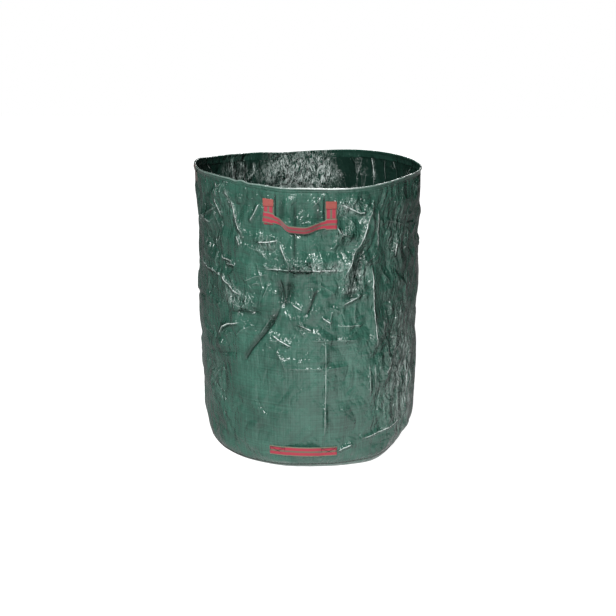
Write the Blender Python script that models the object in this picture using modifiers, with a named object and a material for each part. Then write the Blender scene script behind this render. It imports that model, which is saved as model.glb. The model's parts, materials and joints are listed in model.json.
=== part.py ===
"""Garden waste bag: a self-standing drum of laminated cloth with a hooped rim and webbing handles.

Metres, +Z up. The origin is on the ground under the middle of the bag. The front, with the low
tipping handle, faces -Y. Two carrying handles hang under the rim, front and back.
"""

import math

import bmesh
import bpy
from mathutils import Vector

# Clearance between pieces that touch on the real bag
GAP = 0.0003

# Drum of laminated cloth
BAG_RADIUS = 0.335
BAG_HEIGHT = 0.850
CLOTH = 0.0010
CORNER_DRAW = 0.054  # how far the lower corner draws in, from the wall to the flat of the base
CORNER_HEIGHT = 0.111  # where the lower corner starts to round
BASE_SEAM_HEIGHT = 0.020

# Folds of the slack wall: flat facets between low crests, and the main folds over them. Their
# heights are shares of the way up from the lower corner to where the folds run out under the hem.
FOLD_TOP_DROP = 0.038  # rim to where the folds run out
FOLD_ROWS = (0.847, 0.705, 0.562, 0.419, 0.277, 0.134)
FACET_TURN = 15  # degrees from one crest to the next along a row
FACET_SHIFT = 5  # degrees by which each row of crests is shifted from the one above
FACET_DEPTH = 0.0025
FACET_SEED = (3.1, 1.5, 1.7)  # any three numbers, which settle how high each crest stands
FLAT_HALF_TURN = 20  # half-width in degrees of the flat wall behind the carrying handles
TAPE_HALF_TURN = 5  # the same for the side seam's tape
# Each main fold: its crest, or valley if negative, its half-width, and the line that it follows
# as (degrees from the front, share of the height)
MAIN_FOLDS = (
    (0.0060, 0.040, ((37.5, 1.014), (28.8, 0.833), (20.0, 0.683))),
    (0.0055, 0.040, ((35.4, 0.755), (39.0, 0.342))),
    (-0.0050, 0.035, ((-9.0, 0.598), (-19.9, 0.445), (-31.0, 0.312))),
    (0.0045, 0.035, ((-45.0, 0.683), (-30.1, 0.605))),
    (0.0045, 0.035, ((-50.0, 0.391), (-30.5, 0.498))),
    (0.0050, 0.035, ((57.5, 0.365), (45.0, 0.270))),
)

# Hem with its hoop
HOOP_ROD_RADIUS = 0.0020
SLEEVE_WALL = 0.0006
SLEEVE_LENGTH = 0.024
ROD_END_GAP = 0.002
HEM_CLOTH = 0.0008
HEM_DEPTH = 0.026
HEM_POCKET = 0.0090  # from the middle of the hoop down to where the two layers close up

# Seam tapes inside the bag
BASE_TAPE_WIDTH = 0.012
BASE_TAPE = 0.0016
SIDE_TAPE_WIDTH = 0.014
SIDE_TAPE = 0.0012
SIDE_TAPE_TURN = -90  # where it is, in degrees from the front
TAPE_END_CLEARANCE = 0.004

# Webbing of all the handles
WEBBING_WIDTH = 0.030
WEBBING = 0.0018
NECK_WIDTH = 0.013  # the webbing is drawn together where it turns out of its sewn end
NECK_TAPER = 0.036
ROOT_RAMP = 0.020  # length over which the webbing rises from its sewn end
ROOT_STEPS = 3
ROOT_SPREAD = 0.8  # how much of the full width it has regained at the ramp's end
ROOT_CROWN = 0.7  # how much of its width the ramp's crest has
ROOT_SKIRT = WEBBING / 8  # least thickness at the ramp's edges

# Carrying handles, front and back
HANDLE_SPAN = 0.136  # clear width between the two legs
HANDLE_TOP_DROP = 0.032  # rim to the top of the legs
HANDLE_AXIS_DROP = 0.089  # rim to the line on which the loop swings
LEG_FOLD = 0.019  # folded-over end at the top of a leg
LOOP_BOW = 0.030
LOOP_DROOP = math.radians(30)
LOOP_STANDOFF = 0.0090

# Low handle for tipping the bag out
GRIP_SPAN = 0.101
GRIP_HEIGHT = 0.078
GRIP_PATCH = 0.045
GRIP_BOW = 0.009
GRIP_STANDOFF = 0.0055

# Mesh fineness
RING_STEPS = 72
CORNER_STEPS = 7
POCKET_STEPS = 5
POCKET_LOWEST = math.radians(-20)  # how far the pocket's cloth rounds the hoop, from level
PATCH_STEPS = 4
ROD_SIDES = 12
LOOP_STEPS = 26

# Worked out from the sizes above
BAG_INNER = BAG_RADIUS - CLOTH
CORNER_CENTRE = BAG_RADIUS - CORNER_DRAW
SLEEVE_RADIUS = HOOP_ROD_RADIUS + GAP + SLEEVE_WALL
POCKET_RADIUS = SLEEVE_RADIUS + GAP
HOOP_RADIUS = BAG_RADIUS - CLOTH / 2
HOOP_HEIGHT = BAG_HEIGHT - HEM_CLOTH - POCKET_RADIUS
WALL_TOP = HOOP_HEIGHT - POCKET_RADIUS - GAP
HEM_BOTTOM = BAG_HEIGHT - HEM_DEPTH
FOLD_TOP = BAG_HEIGHT - FOLD_TOP_DROP
SEAM_ANGLE = math.asin(1 - BASE_SEAM_HEIGHT / CORNER_HEIGHT)
HOOP_JOINT_ANGLE = math.pi + math.pi / RING_STEPS

# Linear colours, roughness
CLOTH_GREEN = ((0.075, 0.185, 0.140), 0.38)
TAPE_GREEN = ((0.030, 0.085, 0.060), 0.60)
WEBBING_RED = ((0.480, 0.045, 0.060), 0.75)
ROD_BLACK = ((0.015, 0.015, 0.015), 0.45)


def clear_scene():
    for thing in list(bpy.data.objects):
        bpy.data.objects.remove(thing)


def new_collection(name):
    collection = bpy.data.collections.new(name)
    bpy.context.scene.collection.children.link(collection)
    return collection


def new_material(name, finish):
    colour, roughness = finish
    material = bpy.data.materials.new(name)
    material.use_nodes = True
    shader = material.node_tree.nodes["Principled BSDF"]
    shader.inputs["Base Color"].default_value = (*colour, 1)
    shader.inputs["Roughness"].default_value = roughness
    shader.inputs["Metallic"].default_value = 0
    return material


def add_object(name, data, collection, finish):
    """One named sub-part with a material of its own."""
    thing = bpy.data.objects.new(name, data)
    collection.objects.link(thing)
    data.materials.clear()
    data.materials.append(new_material(name, finish))
    return thing


def profile_mesh(name, points, closed):
    """A line of (radius, height) points in the XZ plane, to be turned by a Screw modifier."""
    count = len(points)
    edges = [(i, (i + 1) % count) for i in range(count if closed else count - 1)]
    mesh = bpy.data.meshes.new(name)
    mesh.from_pydata([(r, 0, z) for r, z in points], edges, [])
    return mesh


def turn(thing, steps):
    screw = thing.modifiers.new("Turn", "SCREW")
    screw.steps = screw.render_steps = steps
    screw.use_merge_vertices = True
    screw.merge_threshold = 0.00001
    screw.use_smooth_shade = False


def turned(name, points, closed, collection, finish, steps=RING_STEPS):
    thing = add_object(name, profile_mesh(name, points, closed), collection, finish)
    turn(thing, steps)
    return thing


def loft(name, rings):
    """A closed mesh through rings of points with equal counts, with a face over each end."""
    shape = bmesh.new()
    rows = [[shape.verts.new(point) for point in ring] for ring in rings]
    for row, following in zip(rows, rows[1:]):
        for i in range(len(row)):
            k = (i + 1) % len(row)
            shape.faces.new((row[i], row[k], following[k], following[i]))
    shape.faces.new(rows[0])
    shape.faces.new(rows[-1])
    bmesh.ops.recalc_face_normals(shape, faces=shape.faces)
    mesh = bpy.data.meshes.new(name)
    shape.to_mesh(mesh)
    shape.free()
    return mesh


def strap_ring(centre, across, half_width, normal, half_thickness):
    """Six points round a strap's section: flat faces with thin rounded edges."""
    side, face = across * half_width, normal * half_thickness
    inset = across * (half_width - half_thickness)
    return [
        centre + side,
        centre + inset + face,
        centre - inset + face,
        centre - side,
        centre - inset - face,
        centre + inset - face,
    ]


def joined(name, meshes, collection, finish):
    """One body from overlapping closed meshes, by Boolean union."""
    thing = add_object(name, meshes[0], collection, finish)
    tools = []
    for mesh in meshes[1:]:
        tool = bpy.data.objects.new(name + "_tool", mesh)
        collection.objects.link(tool)
        tools.append(tool)
        union = thing.modifiers.new("Join", "BOOLEAN")
        union.operation = "UNION"
        union.object = tool
    bpy.context.view_layer.update()
    graph = bpy.context.evaluated_depsgraph_get()
    mesh = bpy.data.meshes.new_from_object(thing.evaluated_get(graph))
    thing.modifiers.clear()
    thing.data = mesh
    mesh.name = name
    for tool in tools:
        bpy.data.objects.remove(tool)
    return thing


def corner_point(angle, inset=0.0):
    """A point of the rounded lower corner, from the wall at 0 to the base at 90 degrees.

    The corner is a quarter ellipse, and inset moves the point in along the ellipse's normal.
    """
    along = Vector((math.cos(angle) / CORNER_DRAW, -math.sin(angle) / CORNER_HEIGHT)).normalized()
    outer = Vector((CORNER_CENTRE + CORNER_DRAW * math.cos(angle),
                    CORNER_HEIGHT * (1 - math.sin(angle))))
    return tuple(outer - along * inset)


def corner_line(start, end, inset=0.0):
    return [corner_point(start + (end - start) * i / CORNER_STEPS, inset)
            for i in range(CORNER_STEPS + 1)]


def corner_turn(distance):
    """The change of angle at the base seam that moves a point by that distance along the cloth."""
    speed = math.hypot(CORNER_DRAW * math.sin(SEAM_ANGLE), CORNER_HEIGHT * math.cos(SEAM_ANGLE))
    return distance / speed


def cloth_radius(height):
    """Outer radius of the drum at a height."""
    rise = max(0.0, 1 - height / CORNER_HEIGHT)
    return CORNER_CENTRE + CORNER_DRAW * math.sqrt(max(0.0, 1 - rise * rise))


def cloth_lean(height):
    """Slope of the drum's wall, in metres of radius for each metre of height."""
    step = CLOTH
    return (cloth_radius(height + step) - cloth_radius(height - step)) / (2 * step)


def turn_between(turn, other):
    """The angle from one turn to another round the bag, from -180 to 180 degrees."""
    return (other - turn + 180) % 360 - 180


def facet_height(turn, row):
    """Height of the facets at a turn on a row of crests, from -1 to 1.

    The crests are FACET_TURN apart, and the cloth runs straight from each to the next.
    """
    place = (turn - FACET_SHIFT * row) % 360 / FACET_TURN
    column, share = math.floor(place), place % 1
    step, power, row_step = FACET_SEED
    here, there = (math.sin(step * crest ** power + row_step * row)
                   for crest in (column, (column + 1) % (360 // FACET_TURN)))
    return here + (there - here) * share


def fold_height(share):
    """Height of a place on the wall that is given as a share of the folds' reach."""
    return CORNER_HEIGHT + (FOLD_TOP - CORNER_HEIGHT) * share


def distance_to_line(turn, share_up, line):
    """Distance on the wall from a place to a line, both as (degrees, share of the height)."""
    nearest = math.inf
    arc = BAG_RADIUS * math.radians(1)
    height = fold_height(share_up)
    for start, end in zip(line, line[1:]):
        low, high = fold_height(start[1]), fold_height(end[1])
        away = Vector((turn_between(start[0], turn) * arc, height - low))
        span = Vector(((end[0] - start[0]) * arc, high - low))
        share = min(1, max(0, away.dot(span) / span.length_squared))
        nearest = min(nearest, (away - span * share).length)
    return nearest


def wall_fold(turn, row):
    """How far the wall stands off the plain drum at a turn, on one of the rows of crests."""
    handle_turn = min(abs(turn_between(turn, 0)), abs(turn_between(turn, 180)))
    if row == 0 and handle_turn <= FLAT_HALF_TURN:
        return 0.0
    if abs(turn_between(turn, SIDE_TAPE_TURN)) <= TAPE_HALF_TURN:
        return 0.0
    off = FACET_DEPTH * facet_height(turn, row)
    for crest, half_width, line in MAIN_FOLDS:
        off += crest * max(0, 1 - distance_to_line(turn, FOLD_ROWS[row], line) / half_width)
    return off


def ring_mesh(name, loops):
    """A closed ring through closed loops of points that run round the bag, one at each step."""
    count, length = len(loops), len(loops[0])
    points = [point for loop in loops for point in loop]
    faces = []
    for i in range(count):
        for j in range(length):
            here, beside = i * length + j, (i + 1) % count * length + j
            below, across = i * length + (j + 1) % length, (i + 1) % count * length + (j + 1) % length
            faces += [(here, below, across), (here, across, beside)]
    mesh = bpy.data.meshes.new(name)
    mesh.from_pydata(points, [], faces)
    shape = bmesh.new()
    shape.from_mesh(mesh)
    bmesh.ops.recalc_face_normals(shape, faces=shape.faces)
    shape.to_mesh(mesh)
    shape.free()
    return mesh


def make_side_wall(collection):
    """The tube of cloth from the hem's pocket down to the base seam, with its main folds."""
    end = SEAM_ANGLE - corner_turn(GAP / 2)
    loops = []
    for step in range(RING_STEPS):
        turn = 360 * step / RING_STEPS
        folds = [0.0, 0.0] + [wall_fold(turn, row) for row in range(len(FOLD_ROWS))]
        levels = [WALL_TOP, FOLD_TOP] + [fold_height(share) for share in FOLD_ROWS]
        outer = [(BAG_RADIUS + fold, z) for fold, z in zip(folds, levels)] + corner_line(0, end)
        inner = [(BAG_INNER + fold, z) for fold, z in zip(folds, levels)] + corner_line(0, end, CLOTH)
        across, ahead = math.sin(math.radians(turn)), -math.cos(math.radians(turn))
        loops.append([(r * across, r * ahead, z) for r, z in outer + inner[::-1]])
    return add_object("side_wall", ring_mesh("side_wall", loops), collection, CLOTH_GREEN)


def make_base_panel(collection):
    """The round base, whose edge turns up to the seam."""
    start, end = SEAM_ANGLE + corner_turn(GAP / 2), math.pi / 2
    inner = [(0, CLOTH)] + corner_line(start, end, CLOTH)[::-1]
    outer = corner_line(start, end) + [(0, 0)]
    return turned("base_panel", inner + outer, False, collection, CLOTH_GREEN)


def make_base_seam_tape(collection):
    """The bound seam allowance, a fin that stands into the bag all round the base seam."""
    root, tip = CLOTH + GAP, CLOTH + GAP + BASE_TAPE_WIDTH
    turn_by = corner_turn(BASE_TAPE / 2)
    above = [corner_point(SEAM_ANGLE - turn_by, inset) for inset in (root, tip)]
    below = [corner_point(SEAM_ANGLE + turn_by, inset) for inset in (root, tip)]
    points = [above[1], above[0], below[0], below[1]]
    return turned("base_seam_tape", points, True, collection, TAPE_GREEN)


def make_side_seam_tape(collection):
    """The bound side seam, a strip flat on the inside of the wall at -X."""
    top = HEM_BOTTOM - TAPE_END_CLEARANCE
    bottom = CORNER_HEIGHT + TAPE_END_CLEARANCE
    rings = []
    half = SIDE_TAPE_WIDTH / 2
    for height in (top, bottom):
        ring = []
        for inset, sides in ((CLOTH + GAP, (half, 0, -half)),
                             (CLOTH + GAP + SIDE_TAPE, (-half, 0, half))):
            radius = BAG_RADIUS - inset
            for across in sides:
                angle = across / radius
                flat = radius * math.cos(math.pi / RING_STEPS)
                ring.append((-flat * math.cos(angle), flat * math.sin(angle), height))
        rings.append(ring)
    return add_object("side_seam_tape", loft("side_seam_tape", rings), collection, TAPE_GREEN)


def pocket_line(side):
    """Half of the hem's pocket as (offset from the wall's middle, height), top to bottom.

    The cloth rounds the hoop, closes in to the wall and lies along it to the stitching.
    side is +1 for the outer face of the hem's cloth and -1 for its inner face.
    """
    shift = HEM_CLOTH * side / 2
    bulge = POCKET_RADIUS + HEM_CLOTH / 2 + shift
    leg = CLOTH / 2 + GAP + HEM_CLOTH / 2 + shift
    reach = POCKET_LOWEST - math.pi / 2
    arc = [math.pi / 2 + reach * i / POCKET_STEPS for i in range(POCKET_STEPS + 1)]
    line = [(bulge * math.cos(a), HOOP_HEIGHT + bulge * math.sin(a)) for a in arc]
    return line + [(leg, HOOP_HEIGHT - HEM_POCKET), (leg, HEM_BOTTOM)]


def make_rim_hem(collection):
    """The wall's upper edge, folded over the hoop and sewn down on both faces of the wall."""
    outside = pocket_line(1)
    inside = pocket_line(-1)
    points = [(HOOP_RADIUS + x, z) for x, z in outside]
    points += [(HOOP_RADIUS + x, z) for x, z in inside[::-1]]
    points += [(HOOP_RADIUS - x, z) for x, z in inside[1:]]
    points += [(HOOP_RADIUS - x, z) for x, z in outside[:0:-1]]
    return turned("rim_hem", points, True, collection, CLOTH_GREEN)


def make_rim_hoop(collection):
    """The plastic rod in the hem, bent to a ring with its two ends meeting in a sleeve."""
    curve = bpy.data.curves.new("rim_hoop", "CURVE")
    curve.dimensions = "3D"
    curve.bevel_depth = HOOP_ROD_RADIUS
    curve.bevel_resolution = 2
    curve.use_fill_caps = True
    half_step = math.pi / RING_STEPS
    facet = HOOP_RADIUS * math.cos(half_step)
    middle = Vector((math.cos(HOOP_JOINT_ANGLE), math.sin(HOOP_JOINT_ANGLE), 0)) * facet
    along = Vector((-math.sin(HOOP_JOINT_ANGLE), math.cos(HOOP_JOINT_ANGLE), 0))
    points = [middle + along * ROD_END_GAP / 2]
    for i in range(RING_STEPS):
        angle = HOOP_JOINT_ANGLE + half_step + 2 * half_step * i
        points.append(Vector((math.cos(angle), math.sin(angle), 0)) * HOOP_RADIUS)
    points.append(middle - along * ROD_END_GAP / 2)
    spline = curve.splines.new("POLY")
    spline.points.add(len(points) - 1)
    for slot, point in zip(spline.points, points):
        slot.co = (point.x, point.y, HOOP_HEIGHT, 1)
    return add_object("rim_hoop", curve, collection, ROD_BLACK)


def make_hoop_sleeve(collection):
    """The short tube over the hoop's two ends."""
    inner, half = HOOP_ROD_RADIUS + GAP, SLEEVE_LENGTH / 2
    points = [(SLEEVE_RADIUS, half), (SLEEVE_RADIUS, -half), (inner, -half), (inner, half)]
    sleeve = turned("hoop_sleeve", points, True, collection, ROD_BLACK, ROD_SIDES)
    facet = HOOP_RADIUS * math.cos(math.pi / RING_STEPS)
    sleeve.location = (facet * math.cos(HOOP_JOINT_ANGLE), facet * math.sin(HOOP_JOINT_ANGLE),
                       HOOP_HEIGHT)
    sleeve.rotation_euler = (math.pi / 2, 0, HOOP_JOINT_ANGLE)
    return sleeve


class Side:
    """Directions for a handle on the front (-Y) or the back (+Y) of the drum.

    A place on the wall is (across, height, lift): across along X, lift off the cloth.
    """

    def __init__(self, front):
        self.out = Vector((0, -1, 0)) if front else Vector((0, 1, 0))

    def normal(self, across, height):
        radius = cloth_radius(height)
        round_part = self.out * math.sqrt(radius * radius - across * across)
        flat = Vector((across, 0, 0)) + round_part
        return Vector((flat.x / radius, flat.y / radius, -cloth_lean(height))).normalized()

    def at(self, across, height, lift):
        radius = cloth_radius(height)
        base = Vector((across, 0, height)) + self.out * math.sqrt(radius * radius - across * across)
        return base + self.normal(across, height) * lift


def neck_width(reach):
    """Half the width of a loop at a distance from its nearer end: drawn in at the neck, then full."""
    share = min(1.0, reach / NECK_TAPER)
    smooth = share * share * (3 - 2 * share)
    return (NECK_WIDTH + (WEBBING_WIDTH - NECK_WIDTH) * smooth) / 2


def make_loop(name, side, span, bow, droop, standoff, height, collection):
    """The free part of a handle, an arch of webbing that swings on the line between its two ends.

    The arch stands off the line by bow * (1 - |x / half|^4)^2, so both ends run along the line,
    and its slope there is the derivative of that.
    The object's origin is on the line, and droop is how far the arch hangs below level.
    """
    half = span / 2 - GAP
    out = side.out * math.cos(droop) + Vector((0, 0, -math.sin(droop)))
    across = out.cross(Vector((1, 0, 0)))
    rings = []
    for i in range(LOOP_STEPS + 1):
        place = -math.cos(math.pi * i / LOOP_STEPS)
        rest = 1 - abs(place) ** 4
        rise = -8 * bow * rest * abs(place) ** 3 * math.copysign(1, place) / half
        along = (Vector((1, 0, 0)) + out * rise).normalized()
        centre = Vector((half * place, 0, 0)) + out * (bow * rest * rest)
        half_width = neck_width(half * (1 - abs(place)))
        rings.append(strap_ring(centre, across, half_width, along.cross(across), WEBBING / 2))
    loop = add_object(name, loft(name, rings), collection, WEBBING_RED)
    loop.location = loop_axis(side, span, standoff, height)
    return loop


def loop_axis(side, span, standoff, height):
    """The middle of the line on which a loop swings, standoff outside the cloth at its two ends."""
    radius = cloth_radius(height)
    level = math.sqrt(radius * radius - (span / 2) ** 2)
    return side.out * (level + standoff) + Vector((0, 0, height))


def root_mesh(name, side, hand, span, standoff, height):
    """The wedge where the webbing rises from its sewn end to the loop's line.

    hand is -1 for the end at -X and +1 for the one at +X.
    """
    axis = loop_axis(side, span, standoff, height)
    top = axis.dot(side.out) + WEBBING
    rings = []
    for step in range(ROOT_STEPS + 1):
        share = step / ROOT_STEPS
        across = hand * (span / 2 + ROOT_RAMP * share)
        foot = side.at(across, height, GAP + WEBBING / 2)
        level = foot.dot(side.out)
        crest = level + (top - level) * (1 - share * share) + WEBBING * share / 2
        wide = (NECK_WIDTH + (WEBBING_WIDTH - NECK_WIDTH) * share * ROOT_SPREAD) / 2
        crown = wide * ROOT_CROWN
        ring = []
        for rise, out in ((-wide, level), (-wide, crest - WEBBING), (-crown, crest),
                          (crown, crest), (wide, crest - WEBBING), (wide, level)):
            out = max(out, level + ROOT_SKIRT if abs(rise) == crown else level)
            ring.append(Vector((across, 0, height + rise)) + side.out * out)
        rings.append(ring)
    return loft(name + "_root", rings)


def leg_mesh(name, side, hand):
    """The sewn leg of a carrying handle: folded end, single webbing, then the doubled corner."""
    middle = hand * (HANDLE_SPAN + WEBBING_WIDTH) / 2
    axis_height = BAG_HEIGHT - HANDLE_AXIS_DROP
    top = BAG_HEIGHT - HANDLE_TOP_DROP
    corner_top = axis_height + WEBBING_WIDTH / 2
    corner_bottom = axis_height - WEBBING_WIDTH / 2
    step = WEBBING / 2
    stations = [(top, 2), (top - LEG_FOLD, 2), (top - LEG_FOLD - step, 1),
                (corner_top + step, 1), (corner_top, 2), (corner_bottom, 2)]
    rings = []
    for height, layers in stations:
        half_thickness = WEBBING * layers / 2
        normal = side.normal(middle, height)
        across = normal.cross(Vector((0, 0, 1)))
        centre = side.at(middle, height, GAP + half_thickness)
        rings.append(strap_ring(centre, across, WEBBING_WIDTH / 2, normal, half_thickness))
    return loft(name, rings)


def make_leg(name, side, hand, collection):
    height = BAG_HEIGHT - HANDLE_AXIS_DROP
    meshes = [leg_mesh(name, side, hand),
              root_mesh(name, side, hand, HANDLE_SPAN, LOOP_STANDOFF, height)]
    return joined(name, meshes, collection, WEBBING_RED)


def patch_mesh(name, side, hand):
    """The sewn end of the tipping handle: webbing along the wall with its end folded under."""
    rings = []
    for i in range(PATCH_STEPS + 1):
        place = hand * (GRIP_SPAN / 2 + GRIP_PATCH * i / PATCH_STEPS)
        normal = side.normal(place, GRIP_HEIGHT)
        along = Vector((0, 0, 1)).cross(normal).normalized()
        across = normal.cross(along)
        centre = side.at(place, GRIP_HEIGHT, GAP + WEBBING)
        rings.append(strap_ring(centre, across, WEBBING_WIDTH / 2, normal, WEBBING))
    return loft(name, rings)


def make_patch(name, side, hand, collection):
    meshes = [patch_mesh(name, side, hand),
              root_mesh(name, side, hand, GRIP_SPAN, GRIP_STANDOFF, GRIP_HEIGHT)]
    return joined(name, meshes, collection, WEBBING_RED)


def make_carrying_handle(prefix, front, collection):
    side = Side(front)
    for word, hand in (("left", -1), ("right", 1)):
        make_leg(f"{prefix}_{word}_leg", side, hand, collection)
    make_loop(prefix + "_loop", side, HANDLE_SPAN, LOOP_BOW, LOOP_DROOP, LOOP_STANDOFF,
              BAG_HEIGHT - HANDLE_AXIS_DROP, collection)


def make_tipping_handle(collection):
    side = Side(True)
    for word, hand in (("left", -1), ("right", 1)):
        make_patch(f"tipping_handle_{word}_end", side, hand, collection)
    lean = math.atan(cloth_lean(GRIP_HEIGHT))
    make_loop("tipping_handle_grip", side, GRIP_SPAN, GRIP_BOW, lean, GRIP_STANDOFF,
              GRIP_HEIGHT, collection)


def main():
    clear_scene()
    parts = new_collection("garden_waste_bag")
    make_side_wall(parts)
    make_base_panel(parts)
    make_base_seam_tape(parts)
    make_side_seam_tape(parts)
    make_rim_hem(parts)
    make_rim_hoop(parts)
    make_hoop_sleeve(parts)
    make_carrying_handle("front_handle", True, parts)
    make_carrying_handle("back_handle", False, parts)
    make_tipping_handle(parts)


main()
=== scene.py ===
"""Garden waste bag: the looks of its crumpled cloth, hooped hem, webbing handles and thread.

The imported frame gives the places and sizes, in metres, +Z up. A place on the cloth is given as
(turn, height): turn is the angle in radians from the front, -Y, towards +X, and height is measured
up the plain drum. place() carries it to the crumpled cloth, and everything sewn on goes through it.
"""

import functools
import json
import math

import bpy
import numpy as np
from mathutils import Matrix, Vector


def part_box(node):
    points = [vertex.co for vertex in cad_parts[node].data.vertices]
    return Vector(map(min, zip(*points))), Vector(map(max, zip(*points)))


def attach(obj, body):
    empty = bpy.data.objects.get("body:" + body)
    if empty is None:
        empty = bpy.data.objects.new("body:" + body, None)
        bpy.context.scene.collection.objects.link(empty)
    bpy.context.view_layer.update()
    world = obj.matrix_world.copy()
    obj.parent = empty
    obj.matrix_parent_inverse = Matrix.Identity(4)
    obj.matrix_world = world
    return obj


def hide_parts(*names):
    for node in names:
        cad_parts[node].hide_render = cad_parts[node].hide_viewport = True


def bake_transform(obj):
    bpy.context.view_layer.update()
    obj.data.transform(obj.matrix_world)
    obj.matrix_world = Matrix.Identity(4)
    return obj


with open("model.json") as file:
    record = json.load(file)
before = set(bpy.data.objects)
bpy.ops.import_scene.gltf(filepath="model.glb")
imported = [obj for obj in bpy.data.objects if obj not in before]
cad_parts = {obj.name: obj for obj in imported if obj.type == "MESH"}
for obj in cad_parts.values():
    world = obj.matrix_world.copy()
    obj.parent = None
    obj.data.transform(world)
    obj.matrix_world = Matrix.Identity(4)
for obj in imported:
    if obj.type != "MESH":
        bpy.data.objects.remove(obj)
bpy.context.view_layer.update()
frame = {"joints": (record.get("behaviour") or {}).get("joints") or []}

bl_info = {
    "name": "Garden Waste Bag",
    "version": (1, 0, 0),
    "blender": (4, 5, 0),
    "location": "3D View > Sidebar > Bag",
    "description": "Dresses the packed garden waste bag in crumpled cloth, webbing and thread",
    "category": "Add Mesh",
}

MM = 0.001
# Colours of the cloth where a fold has whitened it, which also stands in for painted highlights and
# sheen, and of painted shade in valleys and upright streaks
WHITENED_AND_HIGHLIGHT = (0.72, 0.80, 0.77)
PAINTED_SHADE = (0.008, 0.024, 0.018)
# Colours of the webbing's edges, its middle stripe and its back
SELVEDGE = (0.17, 0.19, 0.13)
STRIPE = (0.16, 0.13, 0.09)
WEBBING_BACK = (0.36, 0.075, 0.06)
# What the cloth's inside has in place of the outside's values
INSIDE_LOOK = {"most": 1.4, "streak": 0.9, "film": 0.12, "wear": 0.3}
# Reach of a fold's ridge, of its white line, which is partly whitening and partly painted highlight,
# and of the painted shade beside it in valleys, and the ridge's height
RIDGE_REACH = 5 * MM
LINE_REACH = 1.7 * MM
GROOVE_SHADE_REACH = 3.4 * MM
RIDGE_HEIGHT = 2.2 * MM
# Scale of a wave texture that gives one wave in each metre
WAVE_SCALE = 2 * math.pi / 20
# Metres added to v of a UV map where a strap is turned over
TURNED = 10.0
# Starts of the random draws
CREASE_SEED = 3
RELIEF_SEED = 11
BASE_SEED = 5
HEM_SEED = 23
BINDING_SEED = 9
# Steps of the grids round the bag, and of the lines that are sewn
BASE_STEPS = 400
HEM_STEPS = 900
HOOP_STEPS = 400
BINDING_STEPS = 360
SEAM_STEPS = 1400
STITCH_STEPS = 400
# Share of the wall's rows, and the share of its height that they cover: the lower ones are wider
WALL_ROWS = ((0, 0.35, 1), (0, 0.49, 1))
# The hem's row on top of the rod, and the first one on the bag's inside
TOP_ROW = 7.5
FIRST_INNER_ROW = 13
# Places of the tab at the rim and of the hoop's joint
TAB_TURN = math.radians(-76)
JOINT_TURN = math.radians(92.5)
TAB_BOTTOM = 0.803
TAB_WIDTH = 25 * MM
# How far stitches keep from the edge of what they hold
SEWN_MARGIN = 3 * MM
# Section of the bound seam: (along, square) in millimetres
BINDING_SECTION = ((0, 0.7), (6, 0.7), (12.4, 0.7), (13, 0), (12.4, -0.7), (6, -0.7), (0, -0.7))
# How far the bag's cloth is twisted: at the foot, at the low handle and at the rim
FOOT_TWIST = math.radians(0.75)
GRIP_TWIST = math.radians(0.7)
RIM_TWIST = math.radians(-0.7)
# Height that the lights point at, and half the floor's side
LIT_HEIGHT = 0.4
FLOOR_REACH = 9
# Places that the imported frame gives
JOINTS = {joint["name"]: joint for joint in frame["joints"]}
BAG_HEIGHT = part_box("rim_hem")[1].z
HEM_DEPTH = BAG_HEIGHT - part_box("rim_hem")[0].z
SEAM_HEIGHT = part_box("base_panel")[1].z
HOOP_HEIGHT = (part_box("rim_hoop")[0].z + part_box("rim_hoop")[1].z) / 2
ROD_RADIUS = (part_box("rim_hoop")[1].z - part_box("rim_hoop")[0].z) / 2
DRUM_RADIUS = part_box("rim_hoop")[1].x - ROD_RADIUS + 0.5 * MM
# The wall ends inside the hem
WALL_TOP = BAG_HEIGHT - 7 * MM
LEG_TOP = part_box("front_handle_left_leg")[1].z
LEG_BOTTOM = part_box("front_handle_left_leg")[0].z
LEG_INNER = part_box("front_handle_right_leg")[0].x
LEG_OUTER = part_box("front_handle_right_leg")[1].x
PATCH_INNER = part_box("tipping_handle_right_end")[0].x
PATCH_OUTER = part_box("tipping_handle_right_end")[1].x
LOOP_AXIS = JOINTS["front_handle_swing"]["pos_m"]
GRIP_AXIS = JOINTS["tipping_handle_swing"]["pos_m"]


class BagCloth(bpy.types.PropertyGroup):
    corner_draw: bpy.props.FloatProperty(
        name="Corner draw", description="How far the lower corner draws in to the flat of the base",
        default=0.054, unit="LENGTH")
    corner_height: bpy.props.FloatProperty(
        name="Corner height", description="Where the lower corner starts to round",
        default=0.111, unit="LENGTH")
    thickness: bpy.props.FloatProperty(
        name="Thickness", description="Thickness of the cloth", default=0.0006, unit="LENGTH")
    facet_depth: bpy.props.FloatProperty(
        name="Facet depth", description="Depth of the broad flat facets of the slack wall",
        default=0.0036, unit="LENGTH")
    crease_depth: bpy.props.FloatProperty(
        name="Crease depth", description="Share of the listed depth that each crease gets",
        default=1.7, subtype="FACTOR")
    weave_pitch: bpy.props.FloatProperty(
        name="Weave pitch", description="Width of one woven tape", default=0.0026, unit="LENGTH")
    green: bpy.props.FloatVectorProperty(
        name="Green", description="Colour of the cloth", size=3, subtype="COLOR",
        default=(0.032, 0.104, 0.076))
    # Painted shade: the inside's green is multiplied by this share, darker for the shade inside the
    # bag
    inside_painted_shade: bpy.props.FloatProperty(
        name="Inside shade", description="Share of the green that the unglazed inside shows",
        default=0.25, subtype="FACTOR")
    rows: bpy.props.IntProperty(
        name="Rows", description="Steps of the wall's grid up its height", default=200)
    columns: bpy.props.IntProperty(
        name="Columns", description="Steps of the wall's grid round half the bag", default=242)


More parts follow.
